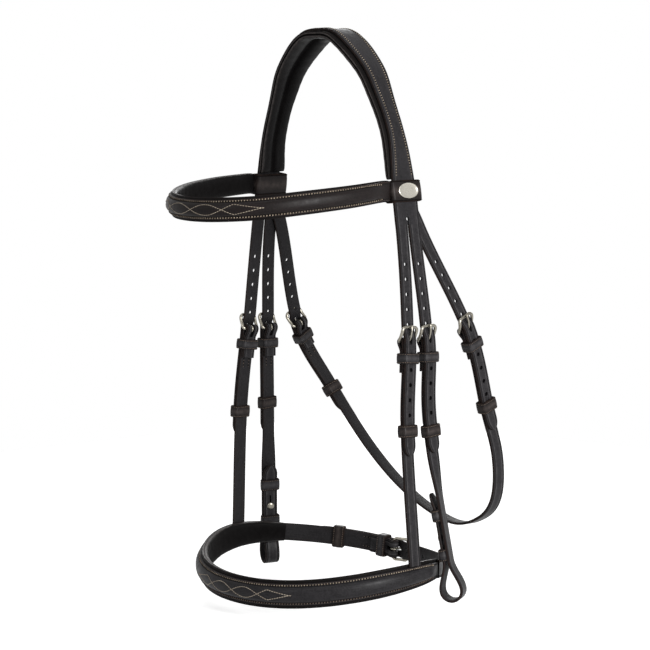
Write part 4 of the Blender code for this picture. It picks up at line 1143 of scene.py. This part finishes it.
def raised_front(node, route, lengths, half, height, material, slot, body, threads=("tan", "tan")):
    """A raised, stitched front: a roll between two flat flanges that sinks to them towards both ends."""
    share = np.concatenate([FRONT_SHARES - 1, 1 - FRONT_SHARES[-2::-1]])
    out_to = np.abs(share)
    rim = FLANGE * (1 - RIM_FALL * np.clip((out_to - RIM_SHARE) / (1 - RIM_SHARE), 0, 1) ** 2)
    groove = GROOVE_DEPTH * bell(out_to, ROW_SHARE, ROW_WIDTH)
    end = np.minimum(lengths - lengths[0], lengths[-1] - lengths)
    swell = ease(end / FLAT_END)[:, None]
    round_end = quarter(end / END_ROUND)[:, None]
    face = rim + (height - FLANGE) * swell * roll_height(out_to) - groove
    face = face * (FRONT_END_SHARE + (1 - FRONT_END_SHARE) * round_end)
    half = np.broadcast_to(half, len(lengths))[:, None]
    across = np.hstack([share * half, np.linspace(1, -1, FRONT_BACK_COLUMNS) * half])
    out = PLY_GAP + np.hstack([face, np.zeros((len(lengths), FRONT_BACK_COLUMNS))])
    mid, sideways = on_route(route, lengths)
    plain = np.zeros(FRONT_BACK_COLUMNS)
    worn = np.concatenate([np.clip(1 - (1 - out_to) * FRONT_WEAR, 0, 1), plain])
    # Painted highlight on the rim, painted shade at the rows of stitches and at the roll's foot
    drawn = sum(strength * bell(out_to, place, wide) for place, wide, strength in FRONT_SHADE_AND_HIGHLIGHT)
    shade_and_highlight = np.concatenate([drawn, plain])
    marks = {"worn": worn[None], "line": shade_and_highlight[None], "along": lengths[:, None], "across": across}
    skin(f"{node}_look", carried(mid, sideways, across, out), marks, material, body, node, slot)
    inside = end > SEAM_START_SHARE * FLAT_END
    drawn_in = (ROW_SHARE - ROW_DRAWN_IN * (1 - ease(end / FLAT_END))) * half[:, 0]
    for edge, slant, thread in ((-1, WIDE_SLANT, threads[0]), (1, STITCH_SLANT, threads[1])):
        seam_on(body, thread, mid[inside], sideways[inside], edge * drawn_in[inside],
                PLY_GAP + FLANGE - SEAM_SINK, pitch=WIDE_PITCH, length=WIDE_LENGTH, slant=slant, pits=True)


def fancy(route, body, diamond, full_height, thickness):
    """Two waves that cross, raised on the roll: half a wave a diamond, then a kite with straight sides."""
    kite_at, kite_high = np.array(KITE_SHARES).T
    diamonds = np.linspace(-kite_at[-1], kite_at[-1], FANCY_POINTS)
    out_to = np.abs(diamonds)
    kite = np.interp(out_to, kite_at, kite_high)
    wave = np.where(out_to < 1, np.sin(math.pi * out_to), -kite)
    for side in (-1, 1):
        across = side * FANCY_HEIGHT * wave * np.sign(diamonds)
        mid, sideways = on_route(route, diamonds * diamond)
        roll = np.clip(np.abs(across) / (ROLL_SHARE * full_height / 2), 0, 0.98)
        out = PLY_GAP + FLANGE + (thickness - FLANGE) * roll_height(roll * ROLL_SHARE)
        seam_on(body, "cream", mid, sideways, across, out, pitch=FANCY_PITCH, length=FANCY_LENGTH,
                radius=FANCY_RADIUS, slant=0.0)


# Keepers
def band_outline(half, thick):
    """A keeper's cross-section: its face is crowned by one less the square of the share from the
    middle, with a groove for each row of stitches, and its back is flat."""
    share = BAND_SHARES - 1
    share = np.concatenate([share, [0.0], -share[::-1]])
    out_to = np.abs(share)
    groove = bell(out_to, 1 - KEEPER_SEAM / half, BAND_GROOVE_WIDTH)
    edge = np.sqrt(1 - np.clip((out_to - BAND_EDGE_SHARE) / (1 - BAND_EDGE_SHARE), 0, 1) ** 2)
    face = thick * (edge - 0.5) + KEEPER_CROWN * (1 - share**2 - BAND_GROOVE_DEPTH * groove)
    back = np.linspace(BAND_BACK_SHARE, -BAND_BACK_SHARE, BAND_BACK_COLUMNS)
    across = np.concatenate([share, back]) * half
    out = np.concatenate([face, np.full(BAND_BACK_COLUMNS, -thick / 2)])
    plain = np.zeros(BAND_BACK_COLUMNS)
    worn = np.concatenate([np.clip(1 - (1 - out_to) * BAND_WEAR, 0, 1), plain])
    # Painted shade at the rims and in the stitch grooves, painted highlight on the crowned middle
    rim = np.clip((out_to - BAND_RIM_SHADE_SHARE) / BAND_RIM_SHADE_WIDTH, 0, 1)
    shade_and_highlight = BAND_HIGHLIGHT * (1 - out_to / BAND_HIGHLIGHT_REACH).clip(0) - groove - rim
    return across[None], out[None], worn, np.concatenate([shade_and_highlight, plain])


def keeper_band(node, matrix, half_width, low, high, height, thickness, material, slot, body, thread="dark"):
    """A leather band in a loop round a strap: a rectangle with round corners, in the matrix's y and z."""
    half = half_width + thickness / 2
    low, high = low - thickness / 2, high + thickness / 2
    corners = []
    for quarter_turns, (side, over) in enumerate(((1, 1), (-1, 1), (-1, -1), (1, -1))):
        angle = np.linspace(0, math.pi / 2, CORNER_ROWS) + quarter_turns * math.pi / 2
        y = side * (half - KEEPER_CORNER) + KEEPER_CORNER * np.cos(angle)
        z = (high if over > 0 else low) - over * KEEPER_CORNER + KEEPER_CORNER * np.sin(angle)
        corners.append(np.stack([0 * angle, y, z], -1))
    line = []
    for corner, following in zip(corners, corners[1:] + corners[:1]):
        line += [corner, np.linspace(corner[-1], following[0], GAP_ROWS)[1:-1]]
    mid = placed(matrix, np.concatenate(line))
    ring = np.vstack([mid, mid[:1]])
    sideways = np.broadcast_to(np.array(matrix)[:3, 0], ring.shape)
    across, out, worn, shade_and_highlight = band_outline(height / 2, thickness)
    marks = {"worn": worn[None], "line": shade_and_highlight[None], "along": distance(mid)[:, None], "across": across}
    grid = carried(mid, sideways[:-1], across, out, closed=True)
    skin(f"{node}_look", grid, marks, material, body, node, slot, closed=True)
    for edge in (-1, 1):
        seam_on(body, thread, ring, sideways, edge * (height / 2 - KEEPER_SEAM),
                thickness / 2 + KEEPER_SEAM_LIFT, pitch=FINE_PITCH, length=FINE_LENGTH,
                radius=FINE_RADIUS, slant=0.0)


def keepers(strap, riding, body, route, width, down, gap):
    """The fixed keeper near the buckle, and the loop keeper with its own gap over the straps."""
    half = width / 2 + SIDE_GAP
    reach = LEATHER / 2 + KEEPER_GAP
    keeper_band(f"{strap}_fixed_keeper", route.matrix(FIXED_KEEPER_DOWN), half, -PLY_STEP - reach,
                PLY_STEP + reach, FIXED_KEEPER_HEIGHT, KEEPER_LEATHER, DARK, "dark_leather", body)
    reach = LEATHER / 2 + gap
    keeper_band(f"{strap}_loop_keeper", route.matrix(down), half, -reach, PLY_STEP + reach,
                LOOP_KEEPER_HEIGHT, KEEPER_LEATHER, BROWN, "dark_leather", f"{riding}_keeper")


# Metal
def tube(name, line, radius, body, node, up, closed=False):
    """Steel wire: a circle carried along a line, its columns kept square to the direction up."""
    radius = np.broadcast_to(radius, len(line))
    down = unit(np.roll(line, -1, 0) - np.roll(line, 1, 0)) if closed else unit(np.gradient(line, axis=0))
    side = unit(np.cross(down, np.array(up, float) + NUDGE))
    over = np.cross(side, down)
    turn = np.linspace(0, 2 * math.pi, WIRE_COLUMNS, endpoint=False)
    circle = side[:, None] * np.cos(turn)[None, :, None] + over[:, None] * np.sin(turn)[None, :, None]
    grid = line[:, None] + radius[:, None, None] * circle
    skin(name, grid, {}, METAL, body, node, "brushed_steel", closed)


def buckle(looks, node, riding, route, width):
    """An arched half buckle on the chape's bar, and its tongue, whose tip lies on the top bar."""
    bar = route.matrix(0.0, 0.0, -FOLD_RADIUS)
    half = width / 2 + SIDE_GAP + WIRE_RADIUS
    rise = FOLD_RADIUS + TOP_BAR_OUT
    turn = np.linspace(0, math.pi / 2, FRAME_CORNER_ROWS)
    top = np.column_stack([
        -FRAME_LENGTH + FRAME_CORNER * (1 - np.sin(turn)), half - FRAME_CORNER + FRAME_CORNER * np.cos(turn),
    ])
    foot = np.column_stack([-np.sin(turn[::2]), np.sin(turn[::2]) - 1]) * WIRE_RADIUS + (0, half)
    straight = np.linspace(foot[-1], top[0], FRAME_ROWS)[1:-1]
    bar_half = np.linspace((0, 0), (0, half - WIRE_RADIUS), FRAME_ROWS)[:-1]
    top_half = np.linspace((-FRAME_LENGTH, half - FRAME_CORNER), (-FRAME_LENGTH, 0), FRAME_ROWS - 1)[1:]
    right = np.vstack([bar_half, foot, straight, top, top_half])
    flat = np.vstack([right, (right * (1, -1))[-2:0:-1]])
    up_frame = -flat[:, 0] / FRAME_LENGTH
    height = rise * np.sin(math.pi / 2 * np.clip(up_frame, 0, 1))
    line = placed(bar, np.column_stack([flat, height]))
    thick = WIRE_RADIUS * (1 + TOP_BAR_SWELL * ease(up_frame))
    tube(f"{looks}_frame_look", line, thick, f"{riding}_frame", f"{node}_frame", bar.col[2][:3], closed=True)
    wrap = WIRE_RADIUS + PLY_GAP + TONGUE_RADIUS
    angle = np.linspace(TONGUE_WRAP_START, TONGUE_WRAP_END, TONGUE_WRAP_STEPS)
    shares = np.array(TONGUE_SHARES)
    line = rounded(np.vstack([
        np.column_stack([wrap * np.sin(angle), 0 * angle, wrap * np.cos(angle)]),
        np.column_stack([-shares[:, 0] * FRAME_LENGTH, 0 * shares[:, 0], shares[:, 1] * (rise + wrap)]),
    ]), TONGUE_ROWS)
    end = distance(line)[-1] - distance(line)
    thick = TONGUE_RADIUS * (TONGUE_TIP_SHARE + (1 - TONGUE_TIP_SHARE) * quarter(end / TONGUE_TIP))
    line = placed(bar, line)
    tube(f"{looks}_tongue_look", line, thick, f"{riding}_tongue", f"{node}_tongue", bar.col[1][:3])


# Parts of a strap that buckles
def billet(node, route, bottom, width, holes, body, top=None, bends=True):
    """A strap end with punched holes, from the split down through the buckle to its point. Where it
    bends, it rides on no body and is baked where it lies."""
    top = route.lengths[0] if top is None else top
    tip, tip_half = point_end(bottom, 1, width)
    rows = [
        evenly(top, -RISE_START - ROW)[:-1], evenly(-RISE_START - ROW, ROW, FINE_ROW)[:-1],
        evenly(ROW, bottom - TIP_LENGTH)[:-1], tip,
    ]
    lengths = np.concatenate(rows)
    half = np.concatenate([np.full(len(lengths) - len(tip), width / 2), tip_half])
    mid, sideways = on_route(route, lengths, billet_rise(lengths))
    piece = leather_strap(node, mid, sideways, half, None if bends else body, (False, True))
    rings = []
    for place in range(-holes, holes + 1):
        length = place * HOLE_SPACING - TONGUE_HOLE_UP
        matrix = route.matrix(length, 0.0, float(billet_rise(length)))
        sizes = (HOLE_RADIUS, HOLE_RADIUS) if place else (TONGUE_HOLE_HALF_LENGTH, TONGUE_HOLE_HALF_WIDTH)
        rings.append(hole_rings(matrix, *sizes, 2 * LEATHER))
    cut_out(piece, rings)
    if bends:
        bend = np.array((top, top + BEND_RUN))
        start, end = route.place(bend, 0.0, billet_rise(bend))
        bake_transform(piece)


def fold_line():
    """The chape round the buckle's bar, from its return ply's end to its outer ply: length and outward."""
    close = np.linspace(FOLD_CLOSE, 0, FOLD_CLOSE_ROWS)[1:-1]
    turn = np.radians(np.linspace(-90, 90, FOLD_ROWS))
    return np.vstack([
        level(spread(RETURN_PLY, FOLD_CLOSE, ROW, (True, False)), -PLY_STEP),
        np.column_stack([close, -PLY_STEP - ease(1 - close / FOLD_CLOSE) * (2 * FOLD_RADIUS - PLY_STEP)]),
        np.column_stack([-FOLD_RADIUS * np.cos(turn), -FOLD_RADIUS + FOLD_RADIUS * np.sin(turn)]),
    ])


def chape_seams(route, width, body):
    """Two rows that hold the return ply, between the fixed keeper and its end, and two that run on
    from it down the strap's inside."""
    start = FIXED_KEEPER_DOWN + FIXED_KEEPER_HEIGHT / 2 + KEEPER_LEATHER
    outer = on_route(route, np.linspace(start, RETURN_PLY - MM, SEAM_POINTS))
    inner = on_route(route, np.linspace(RETURN_PLY + MM, RETURN_PLY + INNER_SEAM_REACH, SEAM_POINTS))
    for edge in (-1, 1):
        seam_on(body, "dark", *outer, edge * (width / 2 - STITCH_INSET), LEATHER / 2)
        seam_on(body, "dark", *inner, edge * (width / 2 - INNER_SEAM_INSET), -LEATHER / 2, face=-1,
                radius=FINE_RADIUS, pits=True)


def buckled(strap, looks, node, riding, body, route, width, down, gap=KEEPER_GAP):
    """What each buckle end has: its seams, the buckle with its tongue, and two keepers."""
    chape_seams(route, width, body)
    buckle(looks, node, riding, route, width)
    keepers(strap, riding, body, route, width, down, gap)


def strap_on(node, route, path, half, body):
    """A strap along a path on a route, with the tongue's slot where it folds round the bar."""
    mid, sideways = on_path(route, path)
    piece = leather_strap(node, mid, sideways, half, body)
    cut_out(piece, [crew_rings(route)])
    return piece


# The bridle's parts
def crown_half(lengths, end, ear, poll):
    """The headpiece's half width, its corners eased: the mean over a few places near each one."""
    near = np.linspace(-CROWN_EASE, CROWN_EASE, EASE_PLACES)
    return np.mean([
        crown_width(np.clip(lengths + shift, -end, end), end, CROWN_LOOP_WIDTH, ear, poll) for shift in near
    ], axis=0) / 2


def headpiece():
    """The crown strap with its slits and seams; gives its route and where the near loop lies."""
    route = Route(crown_points(), POLL_KNOT, FORE_AND_AFT)
    end = route.lengths[-1]
    lengths = evenly(-end, end)
    mid, sideways = on_route(route, lengths)
    half = crown_half(lengths, end, CROWN_EAR_WIDTH, CROWN_POLL_WIDTH)
    piece = leather_strap("headpiece_strap", mid, sideways, half, "headpiece", (False, False),
                          "headpiece_look")
    eyes, slits = [], []
    for side in (-1, 1):
        eye = route.matrix(side * (end - SLIT_LENGTH))
        eyes.append(hole_rings(eye, SLIT_EYE_RADIUS, SLIT_EYE_RADIUS, 2 * LEATHER))
        low, high = sorted((side * MM, -side * SLIT_LENGTH))
        slits.append(slot_rings(route.matrix(side * end), low, high, SLIT / 2, LEATHER))
    cut_out(piece, eyes)
    cut_out(piece, slits)
    loop_place = route.lengths[LOOP_KNOT * Route.STEPS]
    inside = np.abs(lengths) < loop_place - LOOP_HEIGHT / 2
    for edge, inset in CROWN_SEAM_INSETS.items():
        seam_on("headpiece", "tan", mid[inside], sideways[inside], edge * (half[inside] - inset),
                LEATHER / 2, slant=0.0, pits=True)
    return route, loop_place


def crown_padding(route, loop_place):
    """The two-rolled pad under the crown, with a seam on each side near its ends."""
    end = route.lengths[-1]
    reach = loop_place - LOOP_HEIGHT / 2 - BROW_TILT - LOOP_TILT_ROOM
    lengths = spread(-reach, reach + 2 * BROW_TILT, ROW)
    ear, poll = CROWN_EAR_WIDTH + 2 * PADDING_BORDER, CROWN_POLL_WIDTH + 2 * PADDING_POLL_BORDER
    half = crown_half(lengths, end, ear, poll)
    top = -LEATHER / 2 - PLY_GAP
    pad("crown_padding", route, lengths, half, -CROWN_PADDING, ROLLED_HALF_SHARES, top, "headpiece",
        CROWN_TAPER, CROWN_THIN)
    mid, sideways = on_route(route, lengths)
    for part in (lengths < PAD_SEAM_REACH - reach, lengths > reach - PAD_SEAM_REACH):
        for edge in (-1, 1):
            seam_on("headpiece", "dark", mid[part], sideways[part], edge * (half[part] - PAD_SEAM_INSET),
                    top - CROWN_PADDING * PAD_SEAM_DEPTH, face=-1, slant=0.0)


def throat_tabs():
    """The inner layer's ends, which carry the throatlatch; gives the layer's route."""
    inner = Route(crown_points(THROAT_LAYER_SET_BACK, THROAT_SPLIT_BACK - THROAT_LAYER_SET_BACK), POLL_KNOT,
                  FORE_AND_AFT)
    start = inner.lengths[LOOP_KNOT * Route.STEPS] - LOOP_HEIGHT / 2
    for name, side in SIDES:
        lengths = side * spread(start, inner.lengths[-1], ROW, (True, False))
        mid, sideways = on_route(inner, lengths, -LEATHER - TAB_GAP)
        leather_strap(f"throat_tab_{name}", mid, sideways * side, STRAP_WIDTH / 2, "headpiece", (True, False))
    return inner


def badge(matrix):
    """A plain oval plate: a raised rim round a shallow dome, as ovals of its profile's shares."""
    turn = np.linspace(0, 2 * math.pi, PLATE_COLUMNS, endpoint=False)
    ring = np.stack([np.cos(turn) * BADGE_HEIGHT / 2, np.sin(turn) * BADGE_LENGTH / 2], -1)
    flat = PLATE_SHARES[:, None, :1] * ring[None]
    high = np.broadcast_to(PLATE_SHARES[:, 1:, None] * BADGE_THICKNESS, (*flat.shape[:2], 1))
    grid = placed(matrix, np.concatenate([flat, high], -1))
    skin("badge_plate_look", grid, {}, PLATE, "browband", "badge_plate", "brushed_steel")


def browband(crown, loop_place):
    """The browband's padding, raised front and end loops, and the plate on the near loop."""
    route = Route(brow_points(), BROW_KNOT, UPRIGHT)
    end = route.lengths[-1]
    lengths = spread(-end, end, ROW)
    half = (BROW_PADDING_HEIGHT - (BROW_PADDING_HEIGHT - BROW_END_HEIGHT) * (lengths / end) ** 2) / 2
    pad("browband_padding", route, lengths, half, -BROW_PADDING, SMOOTH_HALF_SHARES, 0.0, "browband")
    raised_front("browband_front", route, lengths, BROW_FRONT_HEIGHT / 2, BROW_FRONT, BROWN, "brown_leather",
                 "browband")
    fancy(route, "browband", BROW_DIAMOND, BROW_FRONT_HEIGHT, BROW_FRONT)
    high = LEATHER / 2 + LOOP_CLEARANCE
    for name, side in SIDES:
        keeper_band(f"browband_loop_{name}", crown.matrix(side * loop_place + BROW_TILT),
                    CROWN_LOOP_WIDTH / 2 + LOOP_CLEARANCE, -PLY_STEP - high, high, LOOP_HEIGHT, LOOP_LEATHER,
                    BROWN, "brown_leather", "browband", "pit")
    badge(crown.matrix(loop_place + BROW_TILT, 0.0, high + LOOP_LEATHER + PLY_GAP))


def noseband():
    """The noseband's padding, raised front, rear strap with its buckle, and rear billet."""
    ring = Route(ring_points(-RING_ARC, RING_ARC, RING_KNOTS), RING_KNOTS // 2, UPRIGHT)
    lengths = spread(-NOSE_PADDING_HALF_LENGTH, NOSE_PADDING_HALF_LENGTH, ROW)
    pad("noseband_padding", ring, lengths, nose_height(lengths, NOSE_PADDING_HEIGHT) / 2, -NOSE_PADDING,
        SMOOTH_HALF_SHARES, 0.0, "noseband")
    lengths = spread(-NOSE_FRONT_HALF_LENGTH, NOSE_FRONT_HALF_LENGTH, ROW)
    raised_front("noseband_front", ring, lengths, nose_height(lengths, NOSE_FRONT_HEIGHT) / 2, NOSE_FRONT,
                 DARK, "dark_leather", "noseband", ("dark", "tan"))
    fancy(ring, "noseband", NOSE_DIAMOND, NOSE_FRONT_HEIGHT, NOSE_FRONT)
    first, last = REAR_BUCKLE_ANGLE - REAR_ARC, REAR_BUCKLE_ANGLE + REAR_ARC
    rear = Route(ring_points(first, last, REAR_KNOTS, PLY_GAP + LEATHER / 2), REAR_KNOTS // 2, UPRIGHT)
    near = rear_length(ring, rear, NOSE_FRONT_HALF_LENGTH + REAR_JOINT_GAP)
    far = rear_length(ring, rear, -NOSE_FRONT_HALF_LENGTH - REAR_JOINT_GAP)
    billet("noseband_rear_billet", rear, REAR_BILLET_LENGTH, REAR_STRAP_WIDTH, REAR_HOLES_EACH_WAY,
           "noseband", near, bends=False)
    path = np.vstack([fold_line(), level(spread(0, far, ROW)[1:])])
    strap_on("noseband_rear_strap", rear, path, REAR_STRAP_WIDTH / 2, "noseband")
    node = "noseband_rear_buckle"
    buckled("noseband_rear", node, node, "rear", "noseband", rear, REAR_STRAP_WIDTH, REAR_KEEPER_DOWN)


def nose_strap(crown, side, name):
    """A nose strap: its billet, and its hanger down to the noseband."""
    reach = math.pi / 2 * NOSE_SPREAD
    foot = nose_height(reach, NOSE_PADDING_HEIGHT) / 2 - ring_level(side * math.pi / 2) - HANGER_LAP
    points = [
        (SPLIT_SPREAD, -PAIR_OFFSET, -SPLIT_LEVEL), (BUCKLE_SPREAD, -NOSE_BUCKLE_FORWARD, -BUCKLE_LEVEL),
        (NOSE_KEEPER_SPREAD, -NOSE_KEEPER_FORWARD, -KEEPER_LEVEL), (NOSE_SPREAD, -HANGER_FORWARD, foot),
    ]
    route = Route(points, 1, FORE_AND_AFT, side, crown.down[-1])
    billet(f"nose_billet_{name}", route, BILLET_LENGTH, STRAP_WIDTH, HOLES_EACH_WAY, "noseband")
    path = np.vstack([fold_line(), level(spread(0, route.lengths[-1], ROW, (False, True))[1:])])
    strap_on(f"nose_hanger_{name}", route, path, STRAP_WIDTH / 2, "noseband")
    strap = f"nose_{name}"
    buckled(strap, strap, f"nose_buckle_{name}", strap, "noseband", route, STRAP_WIDTH, NOSE_KEEPER_DOWN)


def bit_loop_line(bottom):
    """The cheekpiece below its buckle: down, round the bit loop and back up inside to its point."""
    middle = -HOOK_STEP / 2
    inner = middle - BIT_LOOP_RADIUS
    neck = np.linspace(0, 1, NECK_ROWS)[1:-1]
    neck_at = bottom - BIT_LOOP_NECK * (1 - neck)
    turn = np.radians(np.linspace(90, -90, BIT_LOOP_ROWS))
    keeper_top = bottom - UPPER_HOOK_KEEPER_UP - LOOP_KEEPER_HEIGHT / 2
    tip, tip_half = point_end(bottom - BIT_RETURN, -1, STRAP_WIDTH)
    last = np.concatenate([evenly(keeper_top, bottom - BIT_RETURN + TIP_LENGTH)[1:-1], tip])
    share = (keeper_top - last) / (keeper_top - bottom + BIT_RETURN)
    path = np.vstack([
        level(evenly(0, bottom - BIT_LOOP_NECK)[1:]),
        np.column_stack([neck_at, ease(neck) * (middle + BIT_LOOP_RADIUS)]),
        np.column_stack([bottom + BIT_LOOP_RADIUS * np.cos(turn), middle + BIT_LOOP_RADIUS * np.sin(turn)]),
        np.column_stack([neck_at, -HOOK_STEP + ease(neck) * (inner + HOOK_STEP)])[::-1],
        level(evenly(bottom - BIT_LOOP_NECK, keeper_top), -HOOK_STEP),
        np.column_stack([last, -HOOK_STEP - RETURN_FLARE * share]),
    ])
    half = np.full(len(path), STRAP_WIDTH / 2)
    half[-len(tip):] = tip_half
    return path, half


def hook_stud(name, place, body):
    """A stem with a domed head: a profile turned about its own axis."""
    base = HOOK_STEP - LEATHER / 2 - PLY_GAP
    under = -LEATHER / 2 - PLY_GAP
    turn = np.linspace(0, math.pi / 2, DOME_ROWS)
    dome_out = under - STUD_HEAD * STUD_RIM_SHARE - STUD_HEAD * (1 - STUD_RIM_SHARE) * np.sin(turn)
    stem = [(STUD_CENTRE_SHARE * STUD_STEM_RADIUS, base), (STUD_STEM_RADIUS, base), (STUD_STEM_RADIUS, under)]
    dome = np.column_stack([STUD_HEAD_RADIUS * np.cos(turn), dome_out])[:-1]
    profile = np.vstack([stem, [(STUD_HEAD_RADIUS, under)], dome])
    angle = np.linspace(0, 2 * math.pi, STUD_COLUMNS, endpoint=False)
    radius, out = profile[:, :1], profile[:, 1:]
    grid = placed(place, np.stack([radius * np.cos(angle), radius * np.sin(angle), out + 0 * angle], -1))
    skin(f"hook_stud_{name}_look", grid, {}, METAL, body, f"hook_stud_{name}", "brushed_steel")


def cheek(crown, side, name, keeper_down):
    """A cheek strap: its billet, the cheekpiece with its bit loop, the stud and the hook keepers."""
    body = f"cheek_{name}"
    points = [
        (SPLIT_SPREAD, PAIR_OFFSET, -SPLIT_LEVEL), (BUCKLE_SPREAD, CHEEK_BUCKLE_BACK, -BUCKLE_LEVEL),
        (CHEEK_KEEPER_SPREAD, CHEEK_KEEPER_BACK, -KEEPER_LEVEL),
        (BIT_SPREAD, BIT_BACK, -BIT_LEVEL + (1 - side) / 2 * FAR_RISE),
    ]
    twist = (BIT_TWIST_DOWN, UPPER_HOOK_KEEPER_UP + LOOP_KEEPER_HEIGHT, BIT_TWIST)
    route = Route(points, 1, FORE_AND_AFT, side, crown.down[-1], twist)
    bottom = route.lengths[-1]
    billet(f"cheek_billet_{name}", route, BILLET_LENGTH, STRAP_WIDTH, HOLES_EACH_WAY, body)
    fold = fold_line()
    loop, loop_half = bit_loop_line(bottom)
    half = np.concatenate([np.full(len(fold), STRAP_WIDTH / 2), loop_half])
    piece = strap_on(f"cheekpiece_{name}", route, np.vstack([fold, loop]), half, body)
    stud = route.matrix(bottom - STUD_UP, 0.0, -HOOK_STEP)
    slot_half = KEYHOLE_SLOT_SHARE * KEYHOLE_HALF_WIDTH
    cut_out(piece, [hole_rings(stud, KEYHOLE_HALF_WIDTH, KEYHOLE_HALF_WIDTH, LEATHER)])
    cut_out(piece, [slot_rings(stud, -KEYHOLE_LENGTH + STUD_STEM_RADIUS, 0.0, slot_half, LEATHER)])
    hook_stud(name, stud, body)
    buckled(body, body, f"cheek_buckle_{name}", body, body, route, STRAP_WIDTH, keeper_down)
    for place, up in (("upper", UPPER_HOOK_KEEPER_UP), ("lower", LOWER_HOOK_KEEPER_UP)):
        keeper_band(f"hook_keeper_{place}_{name}", route.matrix(bottom - up, 0.0, -HOOK_STEP),
                    STRAP_WIDTH / 2 + SIDE_GAP, -LEATHER / 2 - KEEPER_GAP, LEATHER / 2 + PLY_GAP,
                    LOOP_KEEPER_HEIGHT, KEEPER_LEATHER, DARK, "dark_leather", body)


def throatlatch(inner):
    """The throatlatch: one strap with a fold round a buckle's bar at each end, and both billets."""
    points = throat_points(inner)
    far_points = [(-x, y, z) for x, y, z in reversed(points)]
    near = Route(points, 1, FORE_AND_AFT, 1, inner.down[-1])
    far = Route(far_points, 1, FORE_AND_AFT, -1, inner.down[-1])
    for name, route in (("left", near), ("right", far)):
        strap = f"throat_{name}"
        billet(f"throat_billet_{name}", route, BILLET_LENGTH, STRAP_WIDTH, HOLES_EACH_WAY, "throatlatch")
        buckled(strap, strap, f"throat_buckle_{name}", strap, "throatlatch", route, STRAP_WIDTH,
                THROAT_KEEPER_DOWN, THROAT_KEEPER_GAP)
    between = near.lengths[(len(points) - 2) * Route.STEPS]
    fold = fold_line()
    path = np.vstack([fold, level(evenly(0, between)[1:-1]), (fold * (-1, 1) + (between, 0))[::-1]])
    piece = strap_on("throatlatch_strap", near, path, STRAP_WIDTH / 2, "throatlatch")
    cut_out(piece, [crew_rings(far)])


crown, loop_place = headpiece()
crown_padding(crown, loop_place)
inner = throat_tabs()
browband(crown, loop_place)
noseband()
for name, side in SIDES:
    nose_strap(crown, side, name)
    cheek(crown, side, name, NEAR_CHEEK_KEEPER_DOWN if side > 0 else FAR_CHEEK_KEEPER_DOWN)
throatlatch(inner)
sew_all()

# The photo's camera, its floor and its light
AZIMUTH = math.radians(46)
CAMERA_OUT = 1.997
CAMERA_LEVEL = -78.6 * MM
LENS = 134.9
PITCH = math.radians(4.44)
YAW = math.radians(0.094)
FLOOR_LEVEL = -462 * MM
FLOOR_HALF = 0.95
SURROUND_LIGHT = 0.14
FLOOR_GLOW = 0.62
FLOOR_PALE = 0.9
LAMP_BASE = -200 * MM
LAMP_AIM = (0, 0, -220 * MM)
# Each lamp's place towards the camera, to its right and up, in metres, its size and its power
LAMPS = {
    "key": (1.8, 1.5, 0.35, 1.0, 74.0), "fill": (1.7, -1.5, 0.9, 0.8, 9.0),
    "top": (0.6, -0.3, 1.9, 1.0, 7.0), "rear": (-2.0, 0.4, 0.7, 1.2, 14.0),
}
TOWARDS_CAMERA = np.array((math.sin(AZIMUTH), -math.cos(AZIMUTH), 0.0))
CAMERA_RIGHT = np.array((math.cos(AZIMUTH), math.sin(AZIMUTH), 0.0))


def shown(name, data):
    """A new object in the scene."""
    made = bpy.data.objects.new(name, data)
    bpy.context.scene.collection.objects.link(made)
    return made


def pale_where_seen(tree, lit, seen):
    """One strength for light that falls on things, another for what the camera and gloss see."""
    path = tree.nodes.new("ShaderNodeLightPath")
    white = path.outputs["Is Camera Ray"]
    for ray in ("Is Glossy Ray", "Is Transmission Ray"):
        white = maths(tree, "MAXIMUM", white, path.outputs[ray])
    return mapped(tree, white, 0.0, 1.0, lit, seen)


def floor():
    """A pale square under the bridle that glows where it is seen."""
    mesh = bpy.data.meshes.new("floor")
    corners = [(x * FLOOR_HALF, y * FLOOR_HALF, FLOOR_LEVEL) for x, y in ((-1, -1), (1, -1), (1, 1), (-1, 1))]
    mesh.from_pydata(corners, [], [(0, 1, 2, 3)])
    paint = bpy.data.materials.new("White floor")
    paint.use_nodes = True
    tree = paint.node_tree
    surface = tree.nodes["Principled BSDF"]
    feed(tree, surface.inputs["Base Color"], (FLOOR_PALE, FLOOR_PALE, FLOOR_PALE))
    feed(tree, surface.inputs["Roughness"], FLOOR_PALE)
    feed(tree, surface.inputs["Emission Color"], (1, 1, 1))
    feed(tree, surface.inputs["Emission Strength"], pale_where_seen(tree, 0.0, FLOOR_GLOW))
    mesh.materials.append(paint)
    return shown("floor", mesh)


def lamps():
    """Soft round studio lamps, all turned to the bridle's middle."""
    made = []
    for name, (out, side, up, size, power) in LAMPS.items():
        lamp = bpy.data.lights.new(name, "AREA")
        lamp.shape, lamp.size, lamp.energy = "DISK", size, power
        lit = shown(name, lamp)
        place = TOWARDS_CAMERA * out + CAMERA_RIGHT * side + np.array((0, 0, up + LAMP_BASE))
        lit.location = place
        lit.rotation_euler = Vector(np.array(LAMP_AIM) - place).to_track_quat("-Z", "Y").to_euler()
        made.append(lit)
    return made


def surround():
    """A white world, dimmer as a light than it looks."""
    world = bpy.data.worlds.new("surround")
    world.use_nodes = True
    tree = world.node_tree
    glow = tree.nodes["Background"]
    feed(tree, glow.inputs["Color"], (1, 1, 1))
    feed(tree, glow.inputs["Strength"], pale_where_seen(tree, SURROUND_LIGHT, 1.0))
    bpy.context.scene.world = world
    bpy.context.scene.view_settings.view_transform = "Standard"


def photo_camera():
    """The camera that took the photo, as its fit to the photo gave it."""
    camera = shown("camera", bpy.data.cameras.new("camera"))
    camera.data.lens = LENS
    camera.location = TOWARDS_CAMERA * CAMERA_OUT + np.array((0, 0, CAMERA_LEVEL))
    camera.rotation_euler = (math.pi / 2 - PITCH, 0, AZIMUTH + YAW)
    bpy.context.scene.camera = camera


floor()
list(lamps())
surround()
photo_camera()
